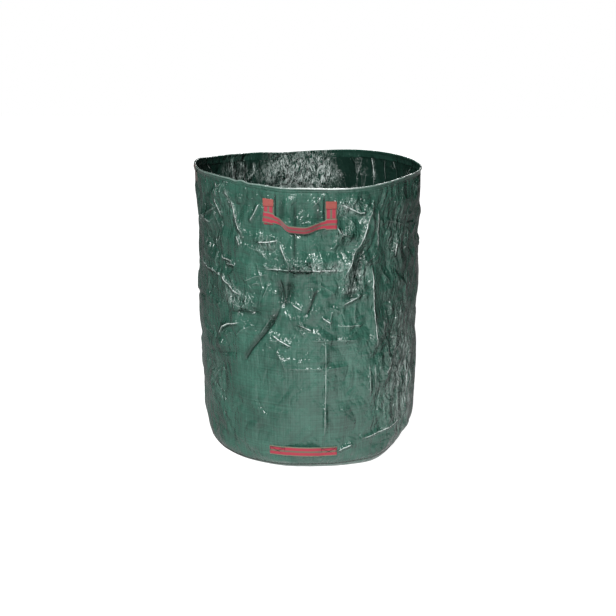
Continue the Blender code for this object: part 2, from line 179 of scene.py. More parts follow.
class BagWebbing(bpy.types.PropertyGroup):
    width: bpy.props.FloatProperty(
        name="Width", description="Width of the webbing", default=0.030, unit="LENGTH")
    thickness: bpy.props.FloatProperty(
        name="Thickness", description="Thickness of the webbing", default=0.0018, unit="LENGTH")
    bow: bpy.props.FloatProperty(
        name="Bow", description="How far a carrying loop stands off its hinge line",
        default=0.030, unit="LENGTH")
    droop: bpy.props.FloatProperty(
        name="Droop", description="How far a carrying loop hangs below level",
        default=math.radians(30), subtype="ANGLE")
    tilt: bpy.props.FloatProperty(
        name="Tilt", description="How far the middle of a carrying loop is turned from upright",
        default=math.radians(41), subtype="ANGLE")
    grip_bow: bpy.props.FloatProperty(
        name="Grip bow", description="How far the tipping handle stands off its hinge line",
        default=0.0085, unit="LENGTH")
    turn_over: bpy.props.FloatProperty(
        name="Turn-over", description="Length of the fold at the top of each leg", default=0.019,
        unit="LENGTH")
    neck: bpy.props.FloatProperty(
        name="Neck", description="Width of the webbing where it turns out of its sewn end",
        default=0.021, unit="LENGTH")
    red: bpy.props.FloatVectorProperty(
        name="Red", description="Colour of the webbing", size=3, subtype="COLOR",
        default=(0.42, 0.03, 0.058))


class BagThread(bpy.types.PropertyGroup):
    thickness: bpy.props.FloatProperty(
        name="Thickness", description="Thickness of the sewing thread", default=0.0009, unit="LENGTH")
    pitch: bpy.props.FloatProperty(
        name="Pitch", description="Distance from one stitch to the next", default=0.0042,
        unit="LENGTH")
    share: bpy.props.FloatProperty(
        name="Share", description="Share of the pitch that shows as thread", default=0.78,
        subtype="FACTOR")


class BagStage(bpy.types.PropertyGroup):
    distance: bpy.props.FloatProperty(
        name="Distance", description="From the bag's axis to the camera", default=2.5527,
        unit="LENGTH")
    height: bpy.props.FloatProperty(
        name="Height", description="Height of the camera", default=1.2755, unit="LENGTH")
    azimuth: bpy.props.FloatProperty(
        name="Azimuth", description="How far the camera stands round from the front",
        default=math.radians(3.2), subtype="ANGLE")
    pitch: bpy.props.FloatProperty(
        name="Pitch", description="How far the camera looks down", default=math.radians(18.8),
        subtype="ANGLE")
    key: bpy.props.FloatProperty(
        name="Key", description="Power of the high front light", default=615.0, unit="POWER")
    back: bpy.props.FloatProperty(
        name="Back", description="Power of the light behind the bag", default=120.0, unit="POWER")
    surround: bpy.props.FloatProperty(
        name="Surround", description="Brightness of the room around the bag", default=0.015)
    floor_near: bpy.props.FloatProperty(
        name="Floor near", description="Glow of the floor in front of the bag", default=0.95)
    floor_far: bpy.props.FloatProperty(
        name="Floor far", description="Glow of the floor away from the bag", default=0.02)


# Rim: how far it rises above the plain drum, as (degrees from the front, millimetres)
RIM_RISE = (
    (-171, -1), (-161, -3), (-146, 2), (-138, 3), (-130, 5), (-108, 12), (-97, 19), (-88, 20),
    (-69, 15), (-58, 15), (-50, 16), (-42, 15), (-36, 14), (-32, 11), (-29, 14), (-25, 9),
    (-19, 8), (-9, 3), (4, 3), (13, 1), (27, -1), (38, 2), (52, 8), (100, 9), (157, 10), (172, 5),
)
# Upper wall: how far it is drawn in at the rim, as (degrees, millimetres)
RIM_DRAW = ((-120, 0), (-88, 0), (-60, 9), (-38, 9), (-20, 2), (30, 0), (60, 2), (90, 1), (120, 0))
# Foot: how far it is pushed out at the floor, as (degrees, millimetres)
FOOT_PUSH = ((-80, 0), (-56, 3), (-38, 4), (-20, 0), (14, 0), (24, 9), (42, 23), (54, 18), (72, 3),
             (84, 0))
# Base seam: how far it is drawn up, as (degrees, millimetres)
SEAM_RISE = ((-90, 0), (-30, -3), (0, 0), (22, 2), (40, 6), (60, 9), (80, 6), (105, 0))
# How far the wall stands off the plain drum: degrees from the front, a power that is higher where
# the stretch is narrower, and (metres up, millimetres)
STANDOFFS = (
    (-87, 2, ((0.02, 4), (0.03, 3), (0.068, -2), (0.113, -3), (0.25, 0), (0.40, 1), (0.51, 0),
              (0.58, -3), (0.66, -4), (0.74, 3), (0.81, 1))),
    (93, 2, ((0.02, -9), (0.032, -5), (0.049, -2), (0.068, 5), (0.113, 7), (0.25, 3), (0.42, 1),
             (0.54, 4), (0.64, 2), (0.76, 0), (0.81, 0))),
    (-3, 6, ((0.02, -7), (0.045, -3), (0.09, 0), (0.81, 0))),
)
# How far folds may stand out at the two sides, and at the front
SIDE_MOST = 6 * MM
FRONT_MOST = 15 * MM
# Facets of the slack wall: (depth, more of it at the front and back, size in metres, stretch)
BROAD_FACETS = ((1.0, 1.1, 0.075, 1.5), (0.9, 0.9, 0.040, 1.3))
FINE_FACETS = ((0.50, 0.023), (0.22, 0.0125))
# Facets that the wall's solid has too, as in the part's source: rows of crests, FACET_TURN degrees
# apart and FACET_SHIFT degrees on in each row, whose heights a sine gives from FACET_SEED
FOLD_TOP_ROW = 0.705
FOLD_PITCH = 0.100
FOLD_ROW_COUNT = 6
FACET_TURN = 15
FACET_SHIFT = 5
FACET_SEED = (3.1, 1.5, 1.7)
# Upright folds left by the packaging, in degrees: the wall is flatter between them
PANEL_FOLDS = (-57, -33, -2.5, 12.3, 37.5, 62)
# Creases: (crest, width on the left, width on the right) in millimetres, and the line that the
# crest follows as (degrees from the front, metres up). A negative crest is a valley. The material
# whitens a crest's line, partly as painted highlight, and darkens a valley with painted shade.
CREASES = (
    # folds left by the packaging
    ((2.1, 8, 6), ((-19.2, .623), (-9, .627), (11, .628), (22, .621))),
    ((1.0, 5, 5), ((16.5, .465), (32, .453))),
    ((0.9, 5, 6), ((3, .427), (13, .425), (29, .414))),
    ((0.8, 5, 7), ((-9.4, .340), (8, .341), (24.4, .337))),
    ((-1.8, 8, 8), ((-2.0, .822), (-2.0, .725), (-2.4, .640))),
    ((1.3, 6, 5), ((11.2, .473), (11.4, .35), (11.2, .243), (10.8, .100))),
    ((1.2, 5, 5), ((34.4, .344), (35, .221))),
    ((1.2, 5, 5), ((37.6, .340), (38.2, .217))),
    ((4.5, 46, 16), ((35.4, .640), (37.3, .495), (39, .351))),
    # upper left, where the cloth hangs in streaks from the rim
    ((3.2, 18, 11), ((-41, .822), (-37.2, .793), (-35.2, .766), (-33, .735), (-28.6, .699))),
    ((2.0, 9, 9), ((-34, .700), (-30.2, .673))),
    ((1.8, 10, 10), ((-48.9, .785), (-44.9, .732))),
    ((1.8, 8, 8), ((-49, .83), (-46, .815), (-46.2, .790))),
    ((1.2, 6, 6), ((-42.5, .83), (-46, .812))),
    ((2.2, 14, 9), ((-19.3, .799), (-25.1, .741))),
    ((2.0, 9, 9), ((-46.1, .639), (-44.3, .626), (-35.7, .626))),
    ((1.8, 8, 8), ((-42.9, .612), (-33.2, .619))),
    ((2.6, 10, 20), ((-21, .693), (-15, .698), (-9.7, .706))),
    ((3.2, 16, 10), ((-9.7, .700), (-7.4, .669), (-5.3, .645), (-4.7, .622))),
    ((3.4, 26, 14), ((-45, .590), (-42.1, .568), (-35, .548), (-30.1, .535))),
    ((-1.5, 12, 10), ((-36.3, .548), (-36, .486), (-17, .498))),
    ((-3.6, 12, 18), ((-9.6, .606), (-7.6, .533), (-5.8, .560), (-4.6, .604))),
    ((-2.2, 5, 9), ((8.5, .582), (5.5, .535), (2.1, .492))),
    ((-3.2, 5, 16), ((-9, .53), (-11, .500), (-14.1, .467), (-19.9, .423), (-25, .385),
                     (-31, .330))),
    ((2.6, 10, 12), ((-2, .476), (5.6, .454))),
    ((2.6, 10, 12), ((-14.9, .437), (-10.7, .423), (-4.1, .405))),
    ((1.8, 8, 8), ((-4, .531), (1.1, .513))),
    ((3.0, 14, 12), ((-50, .385), (-45.5, .425), (-41.3, .439), (-30.5, .460))),
    # right, where a long ridge runs down from the rim
    ((7.0, 42, 24), ((37.5, .822), (34.6, .783), (32, .743), (28.8, .695), (25.7, .667),
                     (22.1, .619), (20, .590))),
    ((-3.6, 16, 26), ((31.5, .690), (29, .633), (25.3, .550), (22.5, .520))),
    ((2.8, 10, 12), ((19.6, .522), (24.4, .532), (31.8, .546))),
    ((2.2, 9, 9), ((9.8, .494), (14.6, .472))),
    ((2.0, 10, 8), ((39.2, .785), (40, .661))),
    ((2.2, 8, 8), ((53.6, .673), (52, .629))),
    ((2.4, 12, 8), ((17.8, .807), (21.6, .800), (28.7, .778), (32.9, .780))),
    ((1.8, 8, 8), ((16.9, .748), (19.1, .728), (25.8, .711))),
    ((3.6, 18, 16), ((57.5, .367), (50, .350), (45, .300), (47, .250))),
    ((3.0, 12, 14), ((44, .470), (43, .420), (47, .380), (46, .330))),
    ((2.0, 9, 11), ((28.5, .101), (34.4, .103), (49.6, .111), (61.1, .118))),
    ((2.2, 6, 8), ((17.4, .073), (25.6, .091))),
    # upright folds on the back wall
    ((1.8, 5, 5), ((-128, .830), (-130, .765))),
    ((1.6, 5, 5), ((-134, .790), (-135.5, .760))),
    ((1.8, 5, 5), ((-137, .795), (-139, .745))),
    ((1.6, 5, 5), ((-143, .820), (-144.5, .780))),
    ((1.8, 5, 5), ((146.5, .835), (143.5, .760))),
    # where the legs of the carrying handle pull the cloth in
    ((-2.6, 4, 4), ((-11.2, .838), (-11.1, .752))),
    ((-2.6, 4, 4), ((11.2, .834), (11.1, .752))),
)
# Height of a fold that is marked in full, and how far from its line a mark reaches and is full
FULL_FOLD = 2.2 * MM
MARK_REACH = 9 * MM
MARK_FULL = 4 * MM
# How high up the wall the lines of random creases may run, in metres
CREASE_LEVELS = (0.06, 0.835)
# Families of random creases: how many, their span in degrees from the front and in metres up, the
# slope of their lines in degrees and how far it strays, and the least and most of their reach in
# metres and of their crest and width in millimetres
CREASE_FAMILIES = (
    (80, (62, 300), (0.12, 0.80), (45, 100), (0.03, 0.11), (1.0, 3.2), (7, 22)),
    (170, (-64, 64), (0.36, 0.81), (50, 120), (0.012, 0.050), (0.5, 1.4), (4, 9)),
    (70, (62, 298), (0.10, 0.81), (50, 120), (0.012, 0.050), (0.5, 1.4), (4, 9)),
    (80, (-92, -34), (0.42, 0.83), (90, 12), (0.02, 0.09), (0.4, 1.1), (3, 6)),
    (110, (38, 92), (0.10, 0.83), (90, 12), (0.02, 0.10), (0.4, 1.1), (3, 6)),
    (90, (110, 250), (0.52, 0.83), (90, 16), (0.02, 0.09), (0.7, 1.8), (4, 9)),
    (50, (-30, 34), (0.74, 0.83), (90, 12), (0.01, 0.04), (0.4, 0.9), (3, 6)),
)
# Crumpled patches: (degrees, metres up, half-width in degrees, half-height in metres, strength).
# The material crinkles them and whitens them in fine lines, partly as painted glints.
CRUMPLES = (
    (-34, .525, 11, .038, 1.2),
    (24, .600, 8, .040, 0.75),
    (30, .600, 5, .070, 0.8),
    (24, .795, 9, .025, 1.25),
    (22, .720, 6, .022, 1.2),
    (6, .632, 18, .016, 1.0),
    (6, .640, 5, .014, 0.8),
    (17, .640, 4, .016, 0.9),
    (24, .560, 6, .012, 0.9),
    (-16, .690, 8, .030, 0.8),
    (60, .280, 20, .240, 1.25),
    (56, .700, 16, .120, 0.5),
    (-70, .650, 16, .200, 0.5),
    (-55, .250, 18, .150, 0.5),
    (-172, .800, 14, .070, 1.8),
    (-158, .770, 13, .070, 0.8),
    (176, .770, 8, .070, 0.9),
    (-130, .790, 16, .080, 0.5),
    (-39, .790, 3, .040, 0.9),
    (-35, .750, 3, .035, 0.9),
    (-31, .700, 3, .030, 0.8),
    (-166, .835, 11, .030, 0.9),
    (171, .745, 9, .040, 0.6),
)
# Patches with hardly a wrinkle, with level ripples, with upright ripples and with streaks inside
# the back wall: (degrees, metres up, half-width in degrees, half-height in metres)
CALM_PATCH = (0, .22, 42, .15)
RIPPLED = (0, .23, 34, .16)
SIDE_RIPPLED = (66, .24, 24, .22)
BACK_STREAKS = (-172, .80, 18, .09)
# Distance from one ripple to the next, in metres
RIPPLE_PITCH = 0.0145
SIDE_RIPPLE_PITCH = 0.017
# Layers of the finest folds: (along the streaks, stretch upwards, scale, slope)
CRINKLES = ((False, 0.5, 17, 0.90), (False, 0.6, 46, 0.75), (False, 1, 120, 0.65),
            (True, 0.2, 44, 0.40), (True, 0.22, 120, 0.85))
# Patches of painted shade: (degrees, metres up, half-width in degrees, half-height in metres,
# strength). Where the strength is negative, the patch is made paler instead by painted sheen in
# fine upright streaks.
SHADE_AND_SHEEN_PATCHES = (
    (-62, .700, 18, .110, 0.66),
    (-76, .500, 12, .160, 0.25),
    (-46, .690, 5, .050, 0.35),
    (-60, .560, 12, .070, 0.35),
    (62, .620, 10, .120, 0.45),
    (44, .500, 7, .130, 0.45),
    (50, .760, 9, .070, 0.40),
    (-10.5, .575, 3, .045, 0.35),
    (-8.2, .785, 1.3, .034, 1.5),
    (8.4, .785, 1.3, .034, 1.5),
    (-10.8, .735, 3, .010, 0.9),
    (11.0, .732, 3, .010, 0.9),
    (150, .780, 22, .090, 0.7),
    (-52, .330, 12, .060, 0.30),
    (3.0, .520, 3, .080, 0.20),
    (-58, .220, 16, .100, 0.28),
    (68, .220, 18, .170, -0.85),
    (-48, .030, 16, .012, 0.8),
    (46, .036, 18, .012, 0.8),
    (80, .430, 10, .080, -0.45),
    (62, .420, 5, .030, -0.40),
    (-172, .780, 14, .060, -0.25),
)


def curve_through(knots, x):
    """Smooth values at x: cubics through the knots, each with the slope between its neighbours."""
    at, value = np.array(knots, float).T
    slope = np.gradient(value, at)
    x = np.clip(x, at[0], at[-1])
    i = np.clip(np.searchsorted(at, x, side="right") - 1, 0, len(at) - 2)
    span = at[i + 1] - at[i]
    t = (x - at[i]) / span
    rise = value[i + 1] - value[i]
    return (value[i] + rise * t * t * (3 - 2 * t)
            + span * t * (1 - t) * (slope[i] * (1 - t) - slope[i + 1] * t))


def round_curve(knots, turn):
    """The same for values that run round the bag, with the knots in degrees."""
    first, last = knots[0], knots[-1]
    ring = ((last[0] - 360, last[1]),) + tuple(knots) + ((first[0] + 360, first[1]),)
    degrees = (np.degrees(turn) - first[0]) % 360 + first[0]
    return curve_through(ring, degrees)


def wrapped(turn):
    return (turn + np.pi) % (2 * np.pi) - np.pi


def smooth(x):
    x = np.clip(x, 0, 1)
    return x * x * (3 - 2 * x)


def near(turn, height, degrees, level, half_turn, half_height):
    """1 in the middle of a patch of the wall, falling softly to 0 outside it."""
    off = (wrapped(turn - math.radians(degrees)) / math.radians(half_turn)) ** 2
    return np.exp(-1.4 * (off + ((height - level) / half_height) ** 2))


def drum_radius(height):
    """Radius of the plain drum: a cylinder over a quarter ellipse."""
    cloth = bpy.context.scene.bag_cloth
    rise = np.clip(1 - height / cloth.corner_height, 0, 1)
    return DRUM_RADIUS - cloth.corner_draw * (1 - np.sqrt(np.clip(1 - rise * rise, 0, 1)))


def waves(rng, turn, height, size, count=7):
    """Smooth noise of about -1 to 1: a sum of sines in random directions, closed round the bag."""
    total = 0
    for _ in range(count):
        way = rng.uniform(0, 2 * np.pi)
        turns = round(2 * np.pi * DRUM_RADIUS / size * np.cos(way))
        climb = 2 * np.pi * np.sin(way) / size
        total = total + np.sin(turns * turn + climb * height + rng.uniform(0, 2 * np.pi))
    return total / math.sqrt(count)


def facets(rng, turn, height, size, stretch=1.0):
    """Flat triangular facets of about size across.

    The plane is cut into a lattice of triangles, bent by smooth noise. Each corner has a random
    height of -1 to 1, and a point takes the height of the plane through its triangle's corners.
    """
    arc_count = max(3, round(2 * np.pi * DRUM_RADIUS / size))
    row = size * 0.87 * stretch
    bent_turn = turn + 0.3 * size / DRUM_RADIUS * waves(rng, turn, height, size * 2.6)
    bent_height = height + 0.3 * size * stretch * waves(rng, turn, height, size * 2.6)
    q = bent_height / row + 2
    p = bent_turn / (2 * np.pi) * arc_count - q / 2
    column, line = np.floor(p).astype(int), np.floor(q).astype(int)
    fp, fq = p - column, q - line
    corner = rng.uniform(-1, 1, (arc_count, int(BAG_HEIGHT / row) + 8))

    def at(dp, dq):
        return corner[(column + dp) % arc_count, np.clip(line + dq, 0, corner.shape[1] - 1)]

    lower = at(0, 0) * (1 - fp - fq) + at(1, 0) * fp + at(0, 1) * fq
    upper = at(1, 1) * (fp + fq - 1) + at(0, 1) * (1 - fp) + at(1, 0) * (1 - fq)
    return np.where(fp + fq < 1, lower, upper)


def wall_facets(turn, height):
    """Height, from -1 to 1, of the facets that the solid has: straight between crests on rows.

    A crest's height is the sine of a multiple of its number's power, plus a step for its row.
    """
    level = (FOLD_TOP_ROW - height) / FOLD_PITCH
    upper = np.clip(np.floor(level), -1, FOLD_ROW_COUNT - 1)
    step, power, row_step = FACET_SEED
    values = []
    for row in (upper, upper + 1):
        place_on_row = (np.degrees(turn) - FACET_SHIFT * row) % 360 / FACET_TURN
        column = np.floor(place_on_row)
        here, there = (np.sin(step * (crest % (360 // FACET_TURN)) ** power + row_step * row)
                       for crest in (column, column + 1))
        off = here + (there - here) * (place_on_row - column)
        values.append(np.where((row >= 0) & (row < FOLD_ROW_COUNT), off, 0))
    share = np.clip(level - upper, 0, 1)
    return values[0] * (1 - share) + values[1] * share


def panels(turn, height):
    """How far the flatter panels between upright folds lie inside the round drum, front and back.

    A flat panel from fold to fold is at radius * cos(half its span) / cos(turn from its middle).
    """
    folds = np.radians(PANEL_FOLDS)
    total = 0
    for centre in (0, np.pi):
        here = wrapped(turn - centre)
        i = np.clip(np.searchsorted(folds, here) - 1, 0, len(folds) - 2)
        middle, half = (folds[i] + folds[i + 1]) / 2, (folds[i + 1] - folds[i]) / 2
        flat = DRUM_RADIUS * (np.cos(half) / np.cos(here - middle) - 1)
        total = total + np.where((here > folds[0]) & (here < folds[-1]), flat, 0)
    return total * smooth((height - 0.13) / 0.15) * smooth((0.82 - height) / 0.10)


def crease_field(turn, height, line, reach):
    """Where the points are by a line: a mask of those within reach of its box, and for these the
    distance from the line, the side they are on as a signed value, and a taper to 0 at its ends."""
    turns, levels = zip(*line)
    half = math.radians(max(turns) - min(turns)) / 2 + reach / DRUM_RADIUS
    box = np.abs(wrapped(turn - math.radians(max(turns) + min(turns)) / 2)) < half
    box &= (height > min(levels) - reach) & (height < max(levels) + reach)
    turn, height = turn[box], height[box]
    if not turn.size:
        return box, turn, turn, turn
    nearest = np.full(turn.shape, 1e9)
    side, share = np.zeros(turn.shape), np.zeros(turn.shape)
    spans = [math.hypot(DRUM_RADIUS * math.radians(b[0] - a[0]), b[1] - a[1])
             for a, b in zip(line, line[1:])]
    done = 0.0
    for start, end, length in zip(line, line[1:], spans):
        x = DRUM_RADIUS * wrapped(turn - math.radians(start[0]))
        y = height - start[1]
        dx = DRUM_RADIUS * math.radians(end[0] - start[0]) / length
        dy = (end[1] - start[1]) / length
        along = np.clip(x * dx + y * dy, 0, length)
        away = np.hypot(x - along * dx, y - along * dy)
        closer = away < nearest
        nearest = np.where(closer, away, nearest)
        side = np.where(closer, dx * y - dy * x, side)
        share = np.where(closer, (done + along) / sum(spans), share)
        done += length
    return box, nearest, side, smooth(share * 5) * smooth((1 - share) * 5)


def crease(turn, height, size, line):
    """One crease: a crest along the line, straight slopes on its two sides, and tapered ends.

    The crest is rounded over a millimetre or two, so that the grid can carry it.
    """
    crest, left, right = (value * MM for value in size)
    rounding = 1.5 * MM
    out = np.zeros(turn.shape)
    box, nearest, side, taper = crease_field(turn, height, line, max(left, right))
    width = np.where(side > 0, left, right)
    slope = np.clip(1 + rounding / width - np.hypot(nearest, rounding) / width, 0, 1)
    out[box] = crest * slope * taper
    return out


def fold_marks(turn, height):
    """The sharp fold nearest to each point: the signed distance from its line, and its strength.

    The strength is above 0 on crests and below 0 in valleys, and 0 away from every fold. A signed
    distance lets the material find the line between the grid's points. The material raises a bump
    from them, whitens the crests' lines, partly as painted highlight, and darkens the valleys with
    painted shade.
    """
    away, strength = np.full(turn.shape, MARK_REACH), np.zeros(turn.shape)
    for rank, (size, line) in enumerate(all_creases()):
        box, nearest, side, taper = crease_field(turn, height, line, MARK_REACH)
        sharp = min(1, abs(size[0]) * MM / FULL_FOLD) * (1.0 if rank < len(CREASES) else 0.55)
        here = sharp * taper * np.clip((MARK_REACH - nearest) / (MARK_REACH - MARK_FULL), 0, 1)
        closer = here > np.abs(strength[box])
        strength[box] = np.where(closer, here * math.copysign(1, size[0]), strength[box])
        away[box] = np.where(closer, np.copysign(nearest, side), away[box])
    return away, strength


def random_creases(rng, count, turns, heights, way, reach, crest, width):
    """The creases of one family, each a bent line of three points at random."""
    lines = []
    for _ in range(count):
        turn, height = rng.uniform(*turns), rng.uniform(*heights)
        heading = math.radians(way[0] + rng.uniform(-way[1], way[1]))
        step = rng.uniform(*reach)
        size = (rng.uniform(*crest) * rng.choice((-1, 1, 1)), *rng.uniform(*width, 2))
        points = []
        for _ in range(3):
            points.append((turn, height))
            turn += math.degrees(step * math.cos(heading) / DRUM_RADIUS)
            height = float(np.clip(height + step * math.sin(heading), *CREASE_LEVELS))
            heading += rng.uniform(-0.4, 0.4)
        lines.append((size, tuple(points)))
    return lines


@functools.cache
def all_creases():
    rng = np.random.default_rng(CREASE_SEED)
    lines = list(CREASES)
    for family in CREASE_FAMILIES:
        lines += random_creases(rng, *family)
    return lines


def crumple(turn, height):
    """How strongly the cloth is crumpled, from 0: soft patches that add up. The material crinkles the
    cloth by it and whitens it in fine lines, partly as painted glints.
    """
    patches = [strength * near(turn, height, *patch) for *patch, strength in CRUMPLES]
    return np.clip(0.15 + sum(patches), 0, 1.4)


def streaks(turn, height):
    """How strongly the cloth is drawn into upright streaks, which is so at the two sides. The
    material crinkles the cloth along them and darkens it there with painted shade.
    """
    away = np.abs(wrapped(turn))
    side = smooth((away - 0.5) / 0.45) * smooth((np.pi - 0.5 - away) / 0.5)
    higher = 0.15 + 0.85 * smooth((height - 0.2) / 0.35)
    side = side * higher * (0.88 + 0.12 * np.sin(turn))
    back = 0.55 * near(turn, height, *BACK_STREAKS)
    return (0.08 + 0.92 * side + back) * smooth((height - 0.03) / 0.05)


def valley_shading(turn, height):
    """How deep a point lies in the listed valleys, from 0 to 1: the material darkens the cloth by it
    as painted shade.
    """
    valleys = sum(crease(turn, height, size, line) for size, line in CREASES if size[0] < 0)
    return np.clip(-valleys / FULL_FOLD, 0, 1)


def shade_and_sheen_patches(turn, height):
    """How much painted shade darkens the cloth, up to 1, or how much painted sheen makes it paler,
    down to -1: patches that add up.
    """
    patches = [strength * near(turn, height, *patch) for *patch, strength in SHADE_AND_SHEEN_PATCHES]
    return np.clip(sum(patches), -1, 1)


def flat_spot(across, up, half_width, half_height):
    """1 on a rectangle of the wall, falling to 0 over a border round it."""
    border = 22 * MM
    past_side = np.maximum(np.abs(across) - half_width, 0)
    past_end = np.maximum(np.abs(up) - half_height, 0)
    return smooth(1 - np.hypot(past_side, past_end) / border)


def sewn(turn, height):
    """1 where webbing is sewn on, somewhat less where it swings close by, and 0 elsewhere."""
    total = 0
    leg = (LEG_OUTER - LEG_INNER) / 2 + 4 * MM
    leg_up = height - (LEG_TOP + LEG_BOTTOM) / 2
    for centre in (0, np.pi):
        across = np.abs(wrapped(turn - centre)) * DRUM_RADIUS
        total = total + flat_spot(across - (LEG_INNER + LEG_OUTER) / 2, leg_up, leg,
                                  (LEG_TOP - LEG_BOTTOM) / 2 + 5 * MM)
        total = total + 0.35 * flat_spot(across, leg_up, LEG_INNER, 0.05)
    across = np.abs(wrapped(turn)) * DRUM_RADIUS
    grip_up = height - GRIP_AXIS[2]
    total = total + flat_spot(across - (PATCH_INNER + PATCH_OUTER) / 2, grip_up,
                              (PATCH_OUTER - PATCH_INNER) / 2 + 4 * MM, 20 * MM)
    total = total + 0.5 * flat_spot(across, grip_up, PATCH_INNER, 20 * MM)
    return np.clip(total, 0, 1)


def settled(turn, height):
    """The outline that the bag has settled to, as a distance from the plain drum."""
    sides = sum(
        np.clip(np.cos(turn - math.radians(degrees)), 0, 1) ** power * curve_through(knots, height)
        for degrees, power, knots in STANDOFFS)
    drawn = round_curve(RIM_DRAW, turn) * smooth((height - 0.45) / 0.4)
    pushed = round_curve(FOOT_PUSH, turn) * smooth((0.13 - height) / 0.11)
    return (sides - drawn + pushed) * MM


def relief(turn, height):
    """How far the cloth stands off the plain drum: its settled outline with the folds laid over it.

    Folds are facets, creases, ripples and flat panels. They fade out at the hem, at the base seam
    and under webbing, and what stands out further than most is flattened.
    """
    cloth = bpy.context.scene.bag_cloth
    rng = np.random.default_rng(RELIEF_SEED)
    rough = crumple(turn, height)
    calm = 1 - 0.75 * near(turn, height, *CALM_PATCH)
    facing = smooth((np.abs(np.cos(turn)) - 0.30) / 0.35)
    below_hem = BAG_HEIGHT - HEM_DEPTH * 0.4 - height
    broad = sum((depth + more * facing) * facets(rng, turn, height, size, stretch)
                for depth, more, size, stretch in BROAD_FACETS)
    broad = 0.7 * wall_facets(turn, height) + calm * broad
    broad = broad * cloth.facet_depth * (0.3 + 0.7 * smooth(below_hem / 0.06))
    fine = sum(depth * facets(rng, turn, height, size) for depth, size in FINE_FACETS)
    fine = fine * cloth.facet_depth * (0.35 + rough) * (0.45 + 0.55 * facing)
    creases = sum(crease(turn, height, size, line) for size, line in all_creases())
    rows = waves(rng, turn, height, 0.05)
    level = np.sin(2 * np.pi * height / RIPPLE_PITCH + 2.2 * rows) * np.clip(rows, 0, 1)
    upright = np.sin(2 * np.pi * DRUM_RADIUS * turn / SIDE_RIPPLE_PITCH
                     + 3.0 * waves(rng, turn, height, 0.09))
    ripples = (0.35 * level * near(turn, height, *RIPPLED)
               + 0.8 * upright * near(turn, height, *SIDE_RIPPLED)) * MM
    loose = (broad + fine * calm + creases * cloth.crease_depth + ripples
             + 0.6 * panels(turn, height))
    edge = smooth(below_hem / 0.020)
    edge = edge * (0.25 + 0.75 * smooth((height - SEAM_HEIGHT) / 0.035))
    out = loose * edge * (1 - 0.98 * sewn(turn, height))
    most = SIDE_MOST + (FRONT_MOST - SIDE_MOST) * smooth((1.25 - np.abs(wrapped(turn))) / 0.4)
    out = np.where(out > most, most + (out - most) * 0.3, out)
    return settled(turn, height) + out


def place(turn, height, lift=0.0):
    """A point on the crumpled cloth, lift metres outside its outer face, as an array of XYZ."""
    turn, height = np.broadcast_arrays(np.asarray(turn, float), np.asarray(height, float))
    step = 0.5 * MM
    lean = (drum_radius(height + step) - drum_radius(height - step)) / (2 * step)
    steep = np.sqrt(1 + lean * lean)
    radius = drum_radius(height) + relief(turn, height) + lift / steep
    rise = round_curve(RIM_RISE, turn) * MM * smooth((height - 0.50) / 0.35)
    drawn_up = round_curve(SEAM_RISE, turn) * MM * smooth(height / SEAM_HEIGHT)
    drawn_up = drawn_up * smooth((0.09 - height) / 0.065)
    level = height + rise + drawn_up - lift * lean / steep
    twisted = turn + FOOT_TWIST + (RIM_TWIST - FOOT_TWIST) * smooth(height / 0.8)
    return np.stack([radius * np.sin(twisted), -radius * np.cos(twisted), level], -1)


def grid(points, uv, round_rows=False, round_columns=False, caps=False):
    """A part of a mesh over rows and columns of points, joined end to end where it is round.

    uv has one more row or column than the points where the grid is round, so that the pattern
    closes. caps closes the first and last row, each with one face. A part is its points, the
    corners of its faces end to end, where each face starts among these, and the corners' UV.
    """
    rows, columns = points.shape[:2]
    row_faces = rows if round_rows else rows - 1
    column_faces = columns if round_columns else columns - 1
    i, j = np.meshgrid(np.arange(row_faces), np.arange(column_faces), indexing="ij")
    around = ((i, j), (i, j + 1), (i + 1, j + 1), (i + 1, j))
    corners = np.stack([(a % rows) * columns + b % columns for a, b in around], -1).reshape(-1)
    corner_uv = np.stack([uv[a, b] for a, b in around], 2).reshape(-1, 2)
    starts = np.arange(0, len(corners), 4)
    if caps:
        first = np.arange(columns)[::-1]
        last = (rows - 1) * columns + np.arange(columns)
        starts = np.concatenate([starts, [len(corners), len(corners) + columns]])
        corners = np.concatenate([corners, first, last])
        corner_uv = np.concatenate([corner_uv, uv[0, first], uv[-1, :columns]])
    return points.reshape(-1, 3), corners, starts, corner_uv


def mesh_of(name, parts):
    """One smooth mesh out of parts as grid() gives them. Their UV may be None."""
    points, corners, starts, corner_uv = zip(*parts)
    first_point = np.cumsum([0] + [len(part) for part in points])
    first_corner = np.cumsum([0] + [len(part) for part in corners])
    points = np.concatenate(points)
    corners = np.concatenate([part + first for part, first in zip(corners, first_point)])
    starts = np.concatenate([part + first for part, first in zip(starts, first_corner)])
    mesh = bpy.data.meshes.new(name)
    mesh.vertices.add(len(points))
    mesh.vertices.foreach_set("co", points.reshape(-1).astype(np.float32))
    mesh.loops.add(len(corners))
    mesh.loops.foreach_set("vertex_index", corners.astype(np.int32))
    mesh.polygons.add(len(starts))
    mesh.polygons.foreach_set("loop_start", starts.astype(np.int32))
    if corner_uv[0] is not None:
        uv = np.concatenate(corner_uv).reshape(-1).astype(np.float32)
        mesh.uv_layers.new(name="UVMap").uv.foreach_set("vector", uv)
    mesh.update(calc_edges=True)
    mesh.shade_smooth()
    return mesh


def add_object(name, data):
    made = bpy.data.objects.new(name, data)
    bpy.context.scene.collection.objects.link(made)
    return made


def add_piece(name, parts, materials):
    """A piece of the bag, made of the parts."""
    piece = add_object(name, mesh_of(name, parts))
    for material in materials:
        piece.data.materials.append(material)
    return piece


def store(piece, name, values):
    """Keeps a number for each point, for the material to read."""
    stored = piece.data.attributes.new(name, "FLOAT", "POINT")
    stored.data.foreach_set("value", values.reshape(-1).astype(np.float32))


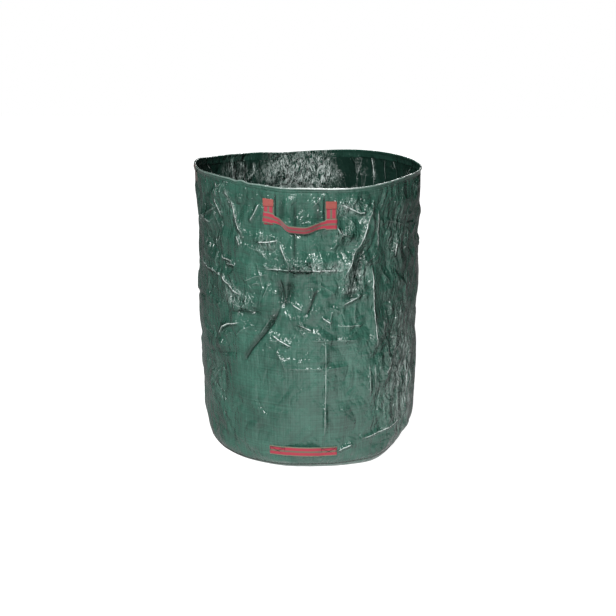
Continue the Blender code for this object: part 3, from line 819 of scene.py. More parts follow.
def mark_cloth(piece, turn, height):
    """Stores the crumples, streaks, folds, and the painted shade and sheen of a grid of places on the
    cloth.
    """
    away, strength = fold_marks(turn, height)
    shade, valley = shade_and_sheen_patches(turn, height), valley_shading(turn, height)
    store(piece, "crumple", crumple(turn, height) + 0.45 * np.clip(strength, 0, 1))
    store(piece, "streaks", streaks(turn, height))
    store(piece, "fold_away", away)
    store(piece, "fold_strength", strength)
    # Painted shade of the patches, and of the listed valleys where the patches don't already darken
    # the cloth; below 0 it is painted sheen
    store(piece, "hollow", shade + valley * (1 - np.clip(shade, 0, 1)))


def thicken(piece, thickness, inner_material=0):
    """Gives a sheet its thickness, inwards from the face that is modelled."""
    solid = piece.modifiers.new("Thickness", "SOLIDIFY")
    solid.thickness = thickness
    solid.offset = -1
    solid.material_offset = inner_material


def uv_grid(u, v):
    """A UV map over a grid, with its columns at u and its rows at v."""
    return np.stack(np.meshgrid(u, v), -1)


def once_round(steps):
    """The turns of points round the bag, and the same with the first point again at the end."""
    turn = np.linspace(0, 2 * np.pi, steps, endpoint=False)
    return turn, np.append(turn, 2 * np.pi)


def unit(vectors):
    return vectors / np.linalg.norm(vectors, axis=1, keepdims=True)


def travelled(path):
    """How far along a line of points each of them lies."""
    return np.append(0, np.cumsum(np.linalg.norm(np.diff(path, axis=0), axis=1)))


def swept(centre, across, half_width, section, turned_over=False):
    """A closed strap or rod, as a part of a mesh: a section carried along a line of centres.

    Each ring is centre + across * half_width * s + face * t for the section's points (s, t),
    where across is square to the line and face is square to both. s runs from -1 to 1 over the
    width, and t is in metres. u of the UV map is s over the width from 0 to 1, and v is metres,
    plus TURNED for the rings that are turned over.
    """
    ahead = unit(np.gradient(centre, axis=0))
    across = unit(across - ahead * np.sum(across * ahead, 1, keepdims=True))
    face = np.cross(across, ahead)
    s, t = section.T
    half_width = np.broadcast_to(half_width, len(centre))
    points = (centre[:, None] + across[:, None] * (half_width[:, None, None] * s[:, None])
              + face[:, None] * t[:, None])
    u = np.append(s, s[0]) / 2 + 0.5
    v = travelled(centre) + TURNED * np.asarray(turned_over)
    return grid(points, uv_grid(u, v), round_columns=True, caps=True)


def strap_up(turn, height, lift, half_width, section, turned_over=False):
    """A strap that runs up the cloth at one turn, lift metres outside its outer face."""
    centre = place(turn, height, lift)
    side = place(turn + 0.01, height, lift) - centre
    return swept(centre, side, half_width, section, turned_over)


def strap_section(thickness):
    """Section of webbing: two nearly flat faces and rounded selvedges, clockwise."""
    s = np.array([-0.93, -0.6, -0.3, 0, 0.3, 0.6, 0.93])
    crown = thickness / 2 * (1 - 0.06 * s * s)
    upper = np.stack([s, crown], -1)
    lower = np.stack([s, -crown], -1)[::-1]
    edge = thickness * 0.28
    return np.concatenate([[(-1, -edge), (-1, edge)], upper, [(1, edge), (1, -edge)], lower])


def softened(centre, held):
    """A line of points smoothed over five, with the first and last few held where they are."""
    weights = np.array([1, 2, 3, 2, 1]) / 9
    padded = np.concatenate([centre[:1]] * 2 + [centre] + [centre[-1:]] * 2)
    soft = np.stack([np.convolve(padded[:, k], weights, "valid") for k in range(3)], -1)
    soft[:held], soft[-held:] = centre[:held], centre[-held:]
    return soft


def stitches(lines, lift, thickness):
    """Thread, as a part of a mesh: a short bead for each stitch along lines of places on the cloth.

    A bead is a spindle of six sides whose middle stands lift above the cloth and whose ends dip
    into it: offset along the stitch x, radius r * sqrt(1.04 - x^2) across and up.
    """
    thread = bpy.context.scene.bag_thread
    half = thread.pitch * thread.share / 2
    starts, ends, normals = [], [], []
    for turn, height in lines:
        share, knots = np.linspace(0, 1, STITCH_STEPS), np.linspace(0, 1, len(turn))
        turn, height = np.interp(share, knots, turn), np.interp(share, knots, height)
        path = place(turn, height, lift)
        outwards = place(turn, height, lift + MM) - path
        length = travelled(path)
        count = max(1, round(length[-1] / thread.pitch))
        at = (np.arange(count) + 0.5) * length[-1] / count
        for where, values, found in ((at - half, path, starts), (at + half, path, ends),
                                     (at, outwards, normals)):
            found.append(np.stack([np.interp(where, length, values[:, k]) for k in range(3)], -1))
    start, end = np.concatenate(starts), np.concatenate(ends)
    normal = unit(np.concatenate(normals))
    along = (end - start) / 2
    side = unit(np.cross(along, normal))
    x = np.array([-1.0, -0.7, 0.0, 0.7, 1.0])
    angle = np.arange(6) * np.pi / 3
    radius = thickness / 2 * np.sqrt(1.04 - x * x)
    dip = thickness / 2 * x * x
    beads = (((start + end) / 2)[:, None, None] + along[:, None, None] * x[None, :, None, None]
             + side[:, None, None] * (radius[:, None] * np.cos(angle))[None, :, :, None]
             + normal[:, None, None] * (radius[:, None] * np.sin(angle) - dip[:, None])[..., None])
    sides, size = len(angle), len(angle) * len(x)
    i, j = np.meshgrid(np.arange(len(x) - 1) * sides, np.arange(sides), indexing="ij")
    after = (j + 1) % sides
    quad = np.stack([i + j, i + sides + j, i + sides + after, i + after], -1).reshape(-1, 4)
    caps = np.stack([np.arange(sides), np.arange(size)[::-1][:sides]])
    first = np.arange(len(start))[:, None, None] * size
    quads, capping = (first + quad).reshape(-1), (first + caps).reshape(-1)
    face_starts = np.concatenate([np.arange(0, len(quads), 4),
                                  len(quads) + np.arange(0, len(capping), sides)])
    return beads.reshape(-1, 3), np.concatenate([quads, capping]), face_starts, None


class Nodes:
    """The node tree of a material or of the room, with a method for each kind of node."""

    def __init__(self, owner):
        owner.use_nodes = True
        self.tree = owner.node_tree

    def fill(self, node, sockets):
        """Gives each socket of a node its value, or a link from the output that is given."""
        for key, value in sockets.items():
            socket = node.inputs[key if isinstance(key, int) else key.replace("_", " ")]
            if isinstance(value, bpy.types.NodeSocket):
                self.tree.links.new(value, socket)
            else:
                socket.default_value = value

    def add(self, kind, settings=(), **sockets):
        """A new node with its settings and its sockets."""
        node = self.tree.nodes.new("ShaderNode" + kind)
        for key, value in dict(settings).items():
            setattr(node, key, value)
        self.fill(node, sockets)
        return node

    def finish(self, shader, **sockets):
        """Fills the sockets of the shader that the tree came with."""
        self.fill(self.tree.nodes[shader], sockets)

    def math(self, operation, *values, clamp=False):
        """An operation on values that are numbers or outputs."""
        node = self.add("Math", {"operation": operation, "use_clamp": clamp})
        self.fill(node, dict(enumerate(values)))
        return node.outputs[0]

    def times(self, first, second, clamp=False):
        return self.math("MULTIPLY", first, second, clamp=clamp)

    def spread(self, value, low, high, least=0.0, most=1.0, **settings):
        """A value between low and high, carried to between least and most."""
        return self.add("MapRange", settings, Value=value, From_Min=low, From_Max=high,
                        To_Min=least, To_Max=most).outputs[0]

    def noise(self, at, scale, stretch=None, **sockets):
        """Noise about 1/2, drawn out along an axis where the stretch is small."""
        if stretch:
            at = self.add("Mapping", Vector=at, Scale=stretch).outputs[0]
        return self.add("TexNoise", Vector=at, Scale=scale, **sockets).outputs["Fac"]

    def bands(self, at, way, pitch, **sockets):
        """Bands across one axis, pitch metres from one to the next."""
        return self.add("TexWave", {"bands_direction": way}, Vector=at, Scale=WAVE_SCALE / pitch,
                        **sockets).outputs["Fac"]

    def bump(self, height, distance, strength=1.0, **under):
        return self.add("Bump", Height=height, Distance=distance, Strength=strength,
                        **under).outputs[0]

    def ramp(self, value, *stops):
        """The colour at a value, between stops of a position and a colour each."""
        node = self.add("ValToRGB", Fac=value)
        elements = node.color_ramp.elements
        while len(elements) < len(stops):
            elements.new(0.5)
        for element, (position, colour) in zip(elements, stops):
            element.position = position
            element.color = (*colour, 1)
        return node.outputs["Color"]

    def mixed(self, colour, tone, factor, blend="MIX"):
        """A colour with so much of a tone mixed into it."""
        return self.add("Mix", {"data_type": "RGBA", "blend_type": blend}, Factor=factor, A=colour,
                        B=(*tone, 1)).outputs["Result"]


def new_material(name):
    material = bpy.data.materials.new(name)
    return material, Nodes(material)


def crinkle(nodes, uv, strength, under, stretch, scale, slope):
    """Bump of sharp folds, where height is strength * |noise - 1/2|, laid over the bump under it."""
    noise = nodes.noise(uv, scale, stretch, Detail=1.5, Distortion=0.35)
    folded = nodes.math("ABSOLUTE", nodes.math("SUBTRACT", noise, 0.5))
    return nodes.bump(nodes.times(folded, strength), slope / scale, Normal=under)


def ramp_down(nodes, value, reach):
    """1 where value is 0, falling to 0 where it is reach or more on either side."""
    return nodes.spread(nodes.math("ABSOLUTE", value), 0.0, reach, 1.0, 0.0)


def sharp_folds(nodes, away, folded, under):
    """Bump of the folds' crests and valleys, their lines and, wider, the grooves along them.

    Lines and grooves are above 0 on crests and below 0 in valleys. The material whitens the lines,
    partly as painted highlight, and darkens the valleys' grooves with painted shade.
    """
    ridge = nodes.times(ramp_down(nodes, away, RIDGE_REACH), folded)
    power = nodes.times(folded, nodes.math("ABSOLUTE", folded))
    line, groove_shade = (nodes.times(ramp_down(nodes, away, reach), power)
                    for reach in (LINE_REACH, GROOVE_SHADE_REACH))
    return nodes.bump(ridge, RIDGE_HEIGHT, Normal=under), line, groove_shade


def crazing_and_glints(nodes, uv, rough, most, scale):
    """Fine whitened lines where the cloth is crumpled, up to most: where a noise is about 1/2. They
    are partly whitening of the crumpled film and partly painted glints.
    """
    noise = nodes.noise(uv, scale, (1, 0.3, 1), Detail=2, Distortion=0.8)
    line = ramp_down(nodes, nodes.math("SUBTRACT", noise, 0.5), 0.06)
    return nodes.times(line, nodes.spread(rough, 0.4, 1.4, 0.0, most))


def tape_tone(nodes, uv):
    """Tone of the woven tapes: noise drawn out along the warp and along the weft, averaged."""
    across = 1 / bpy.context.scene.bag_cloth.weave_pitch
    tones = [nodes.noise(uv, 0.9, way, Detail=1) for way in ((across, 5, 1), (5, across, 1))]
    return nodes.times(nodes.math("ADD", *tones), 0.5)


def cloth_material(name, shade=1.0, least=0.24, most=1.35, streak=1.0, film=0.5, wear=0.35,
                   craze_and_glint=0.25):
    """Laminated woven cloth: crossing tapes, sharp crinkles, whitened folds and a glossy film.

    shade is the share of the green that shows, less on the inside as painted shade. least and most
    are how sharp the crinkles are where the cloth isn't crumpled and where it is, and streak is the
    same for the upright streaks, which also darken the colour with painted shade. film is the weight
    of the glossy film, folds are whitened where the mottling is above wear, partly as painted
    highlight, and craze_and_glint is how white the finest crinkles get, partly as painted glints, and
    how far a crumpled inside is lifted toward the full green as painted light. The colour also takes
    painted shade from the patches and valleys, and painted sheen where the patches are paler.
    """
    cloth = bpy.context.scene.bag_cloth
    material, nodes = new_material(name)
    uv = nodes.add("TexCoord").outputs["UV"]
    rough, streaked, away, folded, hollow = (
        nodes.add("Attribute", {"attribute_name": key}).outputs["Fac"]
        for key in ("crumple", "streaks", "fold_away", "fold_strength", "hollow"))
    weave = nodes.times(*(nodes.bands(uv, way, cloth.weave_pitch) for way in "XY"))
    strength = nodes.spread(rough, 0.0, 1.0, least, most, clamp=False)
    streaked = nodes.spread(streaked, 0.0, 1.0, 0.0, streak)
    bump = nodes.bump(weave, 0.4 * MM, 0.16)
    for along_streaks, stretch, scale, slope in CRINKLES:
        power = streaked if along_streaks else strength
        bump = crinkle(nodes, uv, power, bump, (1, stretch, 1), scale, slope)
    bump, line, groove_shade = sharp_folds(nodes, away, folded, bump)
    mottle = nodes.noise(uv, 9, Detail=6, Roughness=0.6)
    worn = nodes.spread(mottle, wear, wear + 0.18, 0.0, 1.2)
    upright = nodes.noise(uv, 75, (1, 0.14, 1), Detail=2, Distortion=0.5)
    pleat_shade = nodes.times(nodes.spread(upright, 0.3, 0.7, 0.15, 0.75), streaked)
    painted_sheen = nodes.times(nodes.times(hollow, -1.0, clamp=True),
                           nodes.spread(upright, 0.42, 0.72, 0.0, 0.75))
    tone = nodes.add("Mix", {"data_type": "FLOAT"}, A=mottle, B=tape_tone(nodes, uv))
    green = np.array(cloth.green) * shade
    colour = nodes.ramp(tone.outputs["Result"], (0.38, green * 0.60), (0.62, green * 1.38))
    # Mixed in, in turn: a crumpled inside lifted toward the full green as painted light, painted
    # shade in the upright streaks, painted shade in valleys and patches, painted sheen where the
    # patches are below 0, fine lines that are partly whitening and partly painted glints, fold lines
    # that are partly whitening and partly painted highlight, and painted shade along the valleys'
    # grooves
    for factor, mixed_in in (
            (nodes.spread(rough, 0.4, 1.4, 0.0, craze_and_glint), cloth.green),
            (pleat_shade, PAINTED_SHADE),
            (nodes.times(hollow, 0.66, clamp=True), PAINTED_SHADE),
            (painted_sheen, WHITENED_AND_HIGHLIGHT),
            (nodes.times(crazing_and_glints(nodes, uv, rough, craze_and_glint, 60), worn), WHITENED_AND_HIGHLIGHT),
            (nodes.times(crazing_and_glints(nodes, uv, rough, craze_and_glint, 150), worn), WHITENED_AND_HIGHLIGHT),
            (nodes.times(line, nodes.times(worn, 1.25), clamp=True), WHITENED_AND_HIGHLIGHT),
            (nodes.times(groove_shade, -0.95, clamp=True), PAINTED_SHADE)):
        colour = nodes.mixed(colour, mixed_in, factor)
    nodes.finish("Principled BSDF", Base_Color=colour, Normal=bump, Coat_Normal=bump,
                 Roughness=nodes.spread(mottle, 0.3, 0.7, 0.18, 0.30), Coat_Roughness=0.1,
                 Specular_IOR_Level=film, Coat_Weight=film)
    return material


def webbing_material(name):
    """Woven strap: red with a greyish green stripe in the middle and paler edges, ribbed across.

    Where v of the UV map is past TURNED, the strap is folded over and shows its paler back.
    """
    material, nodes = new_material(name)
    uv = nodes.add("TexCoord").outputs["UV"]
    red = tuple(bpy.context.scene.bag_webbing.red)
    split = nodes.add("SeparateXYZ", Vector=uv)
    stripe = nodes.ramp(
        split.outputs["X"], (0.0, SELVEDGE), (0.07, SELVEDGE), (0.12, red), (0.38, red),
        (0.43, STRIPE), (0.57, STRIPE), (0.62, red), (0.88, red), (0.93, SELVEDGE),
        (1.0, SELVEDGE))
    tooth = nodes.noise(uv, 160, Detail=3)
    ribs = nodes.bands(uv, "Y", 2.1 * MM, Distortion=0.6)
    back = nodes.math("GREATER_THAN", split.outputs["Y"], TURNED / 2)
    colour = nodes.mixed(nodes.mixed(stripe, WEBBING_BACK, back), (0.72, 0.72, 0.72), tooth,
                         "MULTIPLY")
    nodes.finish("Principled BSDF", Base_Color=colour, Roughness=0.62, Sheen_Weight=0.15,
                 Normal=nodes.bump(nodes.math("ADD", ribs, tooth), 0.4 * MM, 0.6))
    return material


def plain_material(name, colour, roughness, grain):
    """A moulded or spun surface: one colour mottled by fine noise, with a slight bump."""
    material, nodes = new_material(name)
    noise = nodes.noise(nodes.add("TexCoord").outputs["Object"], grain, Detail=4)
    tint = nodes.ramp(noise, (0.0, np.array(colour) * 0.7), (1.0, np.array(colour) * 1.25))
    nodes.finish("Principled BSDF", Base_Color=tint, Roughness=roughness,
                 Normal=nodes.bump(noise, 0.3 * MM, 0.3))
    return material


class BagOperator:
    bl_options = {"REGISTER", "UNDO"}


class BAG_OT_wall(BagOperator, bpy.types.Operator):
    """Make the front and back of the crumpled wall, seamed at the two sides"""
    bl_idname = "bag.wall"
    bl_label = "Wall"

    def execute(self, context):
        cloth = context.scene.bag_cloth
        finishes = (cloth_material("cloth_wall"),
                    cloth_material("cloth_inside", cloth.inside_painted_shade, 0.0, craze_and_glint=0.5,
                                   **INSIDE_LOOK))
        share = np.interp(np.linspace(0, 1, cloth.rows + 1), *WALL_ROWS)
        height = SEAM_HEIGHT + (WALL_TOP - SEAM_HEIGHT) * share
        for name, centre in (("wall_front", 0.0), ("wall_back", np.pi)):
            turn = centre + np.linspace(-np.pi / 2, np.pi / 2, cloth.columns + 1)
            turns, heights = np.meshgrid(turn, height)
            part = grid(place(turns, heights), uv_grid(DRUM_RADIUS * turn, height))
            piece = add_piece(name, [part], finishes)
            mark_cloth(piece, turns, heights)
            thicken(piece, cloth.thickness, 1)
            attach(piece, "bag")
            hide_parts("side_wall")
        return {"FINISHED"}


class BAG_OT_base(BagOperator, bpy.types.Operator):
    """Make the round base, nearly flat on the floor and turned up to the seam"""
    bl_idname = "bag.base"
    bl_label = "Base"

    def execute(self, context):
        cloth = context.scene.bag_cloth
        rng = np.random.default_rng(BASE_SEED)
        turn, around = once_round(BASE_STEPS)
        turns, heights = np.meshgrid(turn, SEAM_HEIGHT * np.linspace(1, 0.001, 14) ** 1.5)
        rim = place(turns, heights)
        share = np.linspace(1, 0.004, 90)[1:, None]
        floor = rim[-1] * share[..., None]
        wrinkle = sum(depth * facets(rng, turns[:1], 0.6 * share, size)
                      for depth, size in ((1.0, 0.055), (0.4, 0.020)))
        floor[..., 2] = np.clip(wrinkle, 0, 1) * 1.6 * MM * smooth((1 - share) * 9)
        points = np.concatenate([rim, floor])
        points[..., 2] = np.maximum(points[..., 2], 0.3 * MM)
        flat = DRUM_RADIUS - cloth.corner_draw
        radius = np.concatenate([flat + heights[:, :1], flat * share])
        uv = np.stack([radius * np.sin(around), -radius * np.cos(around)], -1)
        part = grid(points[::-1], uv[::-1], round_columns=True)
        piece = add_piece("base", [part], (cloth_material("cloth_base"),))
        thicken(piece, cloth.thickness)
        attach(piece, "bag")
        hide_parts("base_panel")
        return {"FINISHED"}


class BAG_OT_hem(BagOperator, bpy.types.Operator):
    """Make the hem folded inwards over the hoop, its tab at the left seam, the hoop and its sleeve"""
    bl_idname = "bag.hem"
    bl_label = "Hem and hoop"

    def execute(self, context):
        self.fold(context.scene.bag_cloth)
        self.tab()
        self.hoop(context.scene.bag_cloth)
        return {"FINISHED"}

    def fold(self, cloth):
        """Rows of places up the outside of the wall, round the rod and down the inside.

        Round the rod, a row lies bulge * cos(angle) outside the cloth and bulge * sin(angle) above
        the hoop. Down the inside, the flap puckers by smooth noise.
        """
        rng = np.random.default_rng(HEM_SEED)
        turn, around = once_round(HEM_STEPS)
        bulge = ROD_RADIUS + 1.5 * MM
        angle = np.radians(np.linspace(-62, 205, 15))
        flap = np.linspace(HOOP_HEIGHT - 6 * MM, BAG_HEIGHT - HEM_DEPTH, 6)
        lift = np.concatenate([[0.2 * MM, 0.4 * MM], bulge * np.cos(angle), np.full(6, -0.75 * MM)])
        level = np.concatenate([[HOOP_HEIGHT - 9 * MM, HOOP_HEIGHT - 6 * MM],
                                HOOP_HEIGHT + bulge * np.sin(angle), flap])
        pucker = sum(waves(rng, turn, 0 * turn, size) for size in (0.030, 0.014)) / 2
        loose = smooth((HOOP_HEIGHT - level) / HEM_DEPTH) * (lift < 0)
        rows = [place(turn, z + 0.8 * MM * pucker * slack, x - 0.35 * MM * (1 + pucker) * slack)
                for x, z, slack in zip(lift, level, loose)]
        down = travelled(np.stack([lift, level], -1))
        part = grid(np.stack(rows), uv_grid(around * DRUM_RADIUS, down), round_columns=True)
        # The inner flap shows the cloth's outer face turned in; it takes a darker green as painted
        # shade, like the inside
        finishes = (cloth_material("cloth_hem", wear=0.15),
                    cloth_material("cloth_hem_inside", cloth.inside_painted_shade * 1.5, 0.2, craze_and_glint=0.4,
                                   **INSIDE_LOOK))
        piece = add_piece("hem", [part], finishes)
        inner = np.repeat(np.arange(len(rows) - 1) >= FIRST_INNER_ROW, HEM_STEPS)
        piece.data.polygons.foreach_set("material_index", inner.astype(np.int32))
        # Painted highlight: a whitened line along the top of the rod, brightest about 10 degrees
        # right of the front. The inner flap gets the crumples that whiten it in fine lines, partly as
        # painted glints
        top = np.exp(-((np.arange(len(rows)) - TOP_ROW) / 2.5) ** 2)
        store(piece, "fold_strength", top[:, None] * (0.45 + near(turn, 0, 10, 0, 13, 1)))
        store(piece, "crumple", crumple(turn, BAG_HEIGHT - HEM_DEPTH) * (lift < 0)[:, None])
        thicken(piece, 0.5 * MM)
        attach(piece, "bag")
        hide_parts("rim_hem")

    def tab(self):
        """The end of the hem's cloth, folded over the rim and tacked down at the left seam."""
        thick = 0.8 * MM
        reach = ROD_RADIUS + 2.4 * MM
        curl = np.linspace(0, np.pi / 2, 6)[1:]
        climb = thick + (reach - thick) * smooth(np.linspace(0, 1, 8))
        lift = np.concatenate([np.full(8, thick), climb, reach * np.cos(curl)])
        height = np.concatenate([np.linspace(TAB_BOTTOM, HOOP_HEIGHT, 16),
                                 HOOP_HEIGHT + reach * np.sin(curl)])
        part = strap_up(TAB_TURN, height, lift, TAB_WIDTH / 2, strap_section(2 * thick))
        backing = plain_material("cloth_backing", (0.16, 0.13, 0.12), 0.5, 220)
        piece = add_piece("seam_tab", [part], (backing,))
        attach(piece, "bag")

    def hoop(self, cloth):
        """The rod inside the hem, and the sleeve over its two ends."""
        rod = np.radians(np.linspace(-180, 180, 12, endpoint=False))
        section = np.stack([-np.cos(rod), ROD_RADIUS * np.sin(rod)], -1)
        black = plain_material("hoop_plastic", (0.02, 0.02, 0.02), 0.45, 300)
        sleeve = ROD_RADIUS + 0.8 * MM
        for name, node, start, reach, radius, steps in (
                ("hoop", "rim_hoop", JOINT_TURN + 0.003, 2 * np.pi - 0.006, ROD_RADIUS, HOOP_STEPS),
                ("hoop_sleeve_tube", "hoop_sleeve", JOINT_TURN - 0.036, 0.072, sleeve, 12)):
            turn = start + np.linspace(0, reach, steps)
            centre = place(turn, HOOP_HEIGHT, -cloth.thickness / 2)
            up = np.tile((0.0, 0.0, 1.0), (steps, 1))
            part = swept(centre, up, radius, section * (1, radius / ROD_RADIUS))
            piece = add_piece(name, [part], (black,))
            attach(piece, "bag")
            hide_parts(node)


class BAG_OT_carrying_handles(BagOperator, bpy.types.Operator):
    """Make the front and back carrying handles of webbing"""
    bl_idname = "bag.carrying_handles"
    bl_label = "Carrying handles"

    def execute(self, context):
        webbing = context.scene.bag_webbing
        finish = webbing_material("webbing")
        section = strap_section(webbing.thickness)
        for prefix, centre_turn, facing in (("front_handle", 0.0, -1), ("back_handle", np.pi, 1)):
            parts = [self.leg(webbing, section, centre_turn, hand) for hand in (-1, 1)]
            parts.append(self.loop(webbing, section, centre_turn, facing))
            piece = add_piece(prefix + "_webbing", parts, (finish,))
            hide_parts(prefix + "_left_leg", prefix + "_right_leg", prefix + "_loop")
            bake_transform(piece)
        return {"FINISHED"}

    def leg(self, webbing, section, centre_turn, hand):
        """Webbing sewn flat, whose top is folded over outwards and sewn down again."""
        thick = webbing.thickness
        turn = centre_turn + hand * math.asin((LEG_INNER + LEG_OUTER) / 2 / DRUM_RADIUS)
        curl = np.linspace(0, np.pi, 7)[1:-1]
        top = LEG_TOP - 4 * MM
        up = np.linspace(LEG_BOTTOM, top - thick, 16)
        down = np.linspace(top - thick, top - webbing.turn_over, 8)
        height = np.concatenate([up, up[-1] + thick * np.sin(curl), down])
        lift = np.concatenate([np.full(16, 0.6), 1.3 - 0.7 * np.cos(curl), np.full(8, 2.0)]) * thick
        turned = np.arange(len(height)) > 17
        return strap_up(turn, height, lift, webbing.width / 2, section, turned)

    def loop(self, webbing, section, centre_turn, facing):
        """The strap from one sewn corner to the other, along the cloth and then off it.

        Between the legs it stands off the hinge line, in a direction that droops below level. It
        lies close for a while after its left corner, then drops, and rises slowly to its right one.
        """
        free = np.linspace(-1, 1, 61)[1:-1]
        out = np.array([0, facing * math.cos(webbing.droop), -math.sin(webbing.droop)])
        lean = np.array([0, facing * math.sin(webbing.tilt), math.cos(webbing.tilt)])
        hang = smooth((free + 0.84) / 0.46) * smooth((1.02 - free) / 0.85)
        x = -facing * (free * LEG_INNER + RIM_TWIST * DRUM_RADIUS)
        axis = np.array([0, facing * abs(LOOP_AXIS[1]), LOOP_AXIS[2]])
        arch = axis + x[:, None] * (1, 0, 0) + (webbing.bow * hang)[:, None] * out
        arch[:, 2] += self.drop(free)
        ends = []
        for hand in (-1, 1):
            way = np.linspace(LEG_OUTER, LEG_INNER + 2 * MM, 8)
            turn = centre_turn + hand * np.arcsin(way / DRUM_RADIUS)
            ends.append(place(turn, LOOP_AXIS[2] + self.drop(hand), webbing.thickness * 1.75))
        centre = np.concatenate([ends[0], arch, ends[1][::-1]])
        for _ in range(4):
            centre = softened(centre, 2)
        share = np.concatenate([np.ones(8), np.abs(free), np.ones(8)])
        turned = smooth((1 - share) / 0.35)[:, None]
        across = np.array([0, 0, 1.0]) * (1 - turned) + lean * turned
        pinch = smooth(1 - np.abs(share - 0.93) / 0.35) * (share < 1)
        width = webbing.width - (webbing.width - webbing.neck) * pinch
        return swept(centre, across, width / 2, section)

    def drop(self, share):
        """How far the loop lies above its hinge line, from -1 at its one leg to 1 at the other."""
        return (-1.5 - 5.5 * share) * MM


class BAG_OT_tipping_handle(BagOperator, bpy.types.Operator):
    """Make the low handle for tipping the bag out"""
    bl_idname = "bag.tipping_handle"
    bl_label = "Tipping handle"

    def execute(self, context):
        webbing = context.scene.bag_webbing
        thick = webbing.thickness
        section = strap_section(thick)
        height = GRIP_AXIS[2]
        parts, ends = [], []
        for hand in (-1, 1):
            way = np.linspace(PATCH_OUTER, PATCH_INNER + MM, 14)
            turn = hand * np.arcsin(way / drum_radius(height))
            centre = place(turn, height, thick * 0.6)
            side = place(turn, height + MM, thick * 0.6) - centre
            parts.append(swept(centre, side, webbing.width / 2 * 0.97, section))
            ends.append(place(turn, height, thick * 1.65))
        free = np.linspace(-1, 1, 41)[1:-1]
        lean = math.atan((drum_radius(height + MM) - drum_radius(height - MM)) / (2 * MM))
        out = np.array([0, -math.cos(lean), -math.sin(lean)])
        rest = webbing.grip_bow * (1 - np.abs(free) ** 4) ** 2
        arch = np.array(GRIP_AXIS) + (free * PATCH_INNER)[:, None] * (1, 0, 0) + rest[:, None] * out
        arch[:, 0] += GRIP_TWIST * DRUM_RADIUS
        arch[:, 2] += 6 * MM * (1 - free ** 4)
        centre = softened(np.concatenate([ends[0], arch, ends[1][::-1]]), 2)
        across = np.tile((0, -math.sin(lean / 3), math.cos(lean / 3)), (len(centre), 1))
        parts.append(swept(centre, across, webbing.width / 2, section))
        piece = add_piece("tipping_handle_webbing", parts, (webbing_material("webbing_low"),))
        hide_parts("tipping_handle_left_end", "tipping_handle_right_end",
                    "tipping_handle_grip")
        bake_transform(piece)
        return {"FINISHED"}


class BAG_OT_stitching(BagOperator, bpy.types.Operator):
    """Sew the hem, the base seam and the handles with rows of thread"""
    bl_idname = "bag.stitching"
    bl_label = "Stitching"

    def execute(self, context):
        webbing = context.scene.bag_webbing
        green, dark, red = (
            plain_material("thread_" + name, colour, 0.6, 900)
            for name, colour in (("green", (0.035, 0.11, 0.08)), ("dark", (0.03, 0.02, 0.02)),
                                 ("red", (0.22, 0.03, 0.035))))
        around = np.linspace(0, 2 * np.pi, SEAM_STEPS)
        level = np.full(around.shape, BAG_HEIGHT - HEM_DEPTH + 4 * MM)
        self.sew("hem_stitching", [(around, level)], 0.25 * MM, green)
        level = np.full(around.shape, SEAM_HEIGHT + 1.5 * MM)
        self.sew("base_stitching", [(around, level)], 0.6 * MM, dark, 3)
        top, middle, bottom = LEG_TOP - 7 * MM, LEG_TOP - 18 * MM, LEG_BOTTOM + SEWN_MARGIN
        for prefix, centre in (("front_handle", 0.0), ("back_handle", np.pi)):
            lines = []
            for hand in (-1, 1):
                inner, outer = (centre + hand * math.asin(x / DRUM_RADIUS)
                                for x in (LEG_INNER + SEWN_MARGIN, LEG_OUTER - SEWN_MARGIN))
                lines += [((inner, outer), (level, level)) for level in (middle, top, bottom)]
                lines += [((turn, turn), (top, bottom)) for turn in (inner, outer)]
            self.sew(prefix + "_stitching", lines, webbing.thickness * 2.5, red)
        lines = []
        height = GRIP_AXIS[2]
        low, high = (height + way * (webbing.width / 2 - SEWN_MARGIN) for way in (-1, 1))
        for hand in (-1, 1):
            inner, outer = (hand * math.asin(x / drum_radius(height))
                            for x in (PATCH_INNER + SEWN_MARGIN, PATCH_OUTER - SEWN_MARGIN))
            lines += [((inner, outer), (low, low)), ((inner, outer), (high, high)),
                      ((inner, inner), (low, high)), ((outer, outer), (low, high)),
                      ((inner, outer), (low, high)), ((inner, outer), (high, low))]
        self.sew("tipping_handle_stitching", lines, webbing.thickness * 2.5, dark, 2)
        return {"FINISHED"}

    def sew(self, name, lines, lift, material, rows=1):
        """Sews the lines, with thread as thick as so many rows side by side."""
        thickness = bpy.context.scene.bag_thread.thickness * rows
        piece = add_piece(name, [stitches(lines, lift, thickness)], (material,))
        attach(piece, "bag")


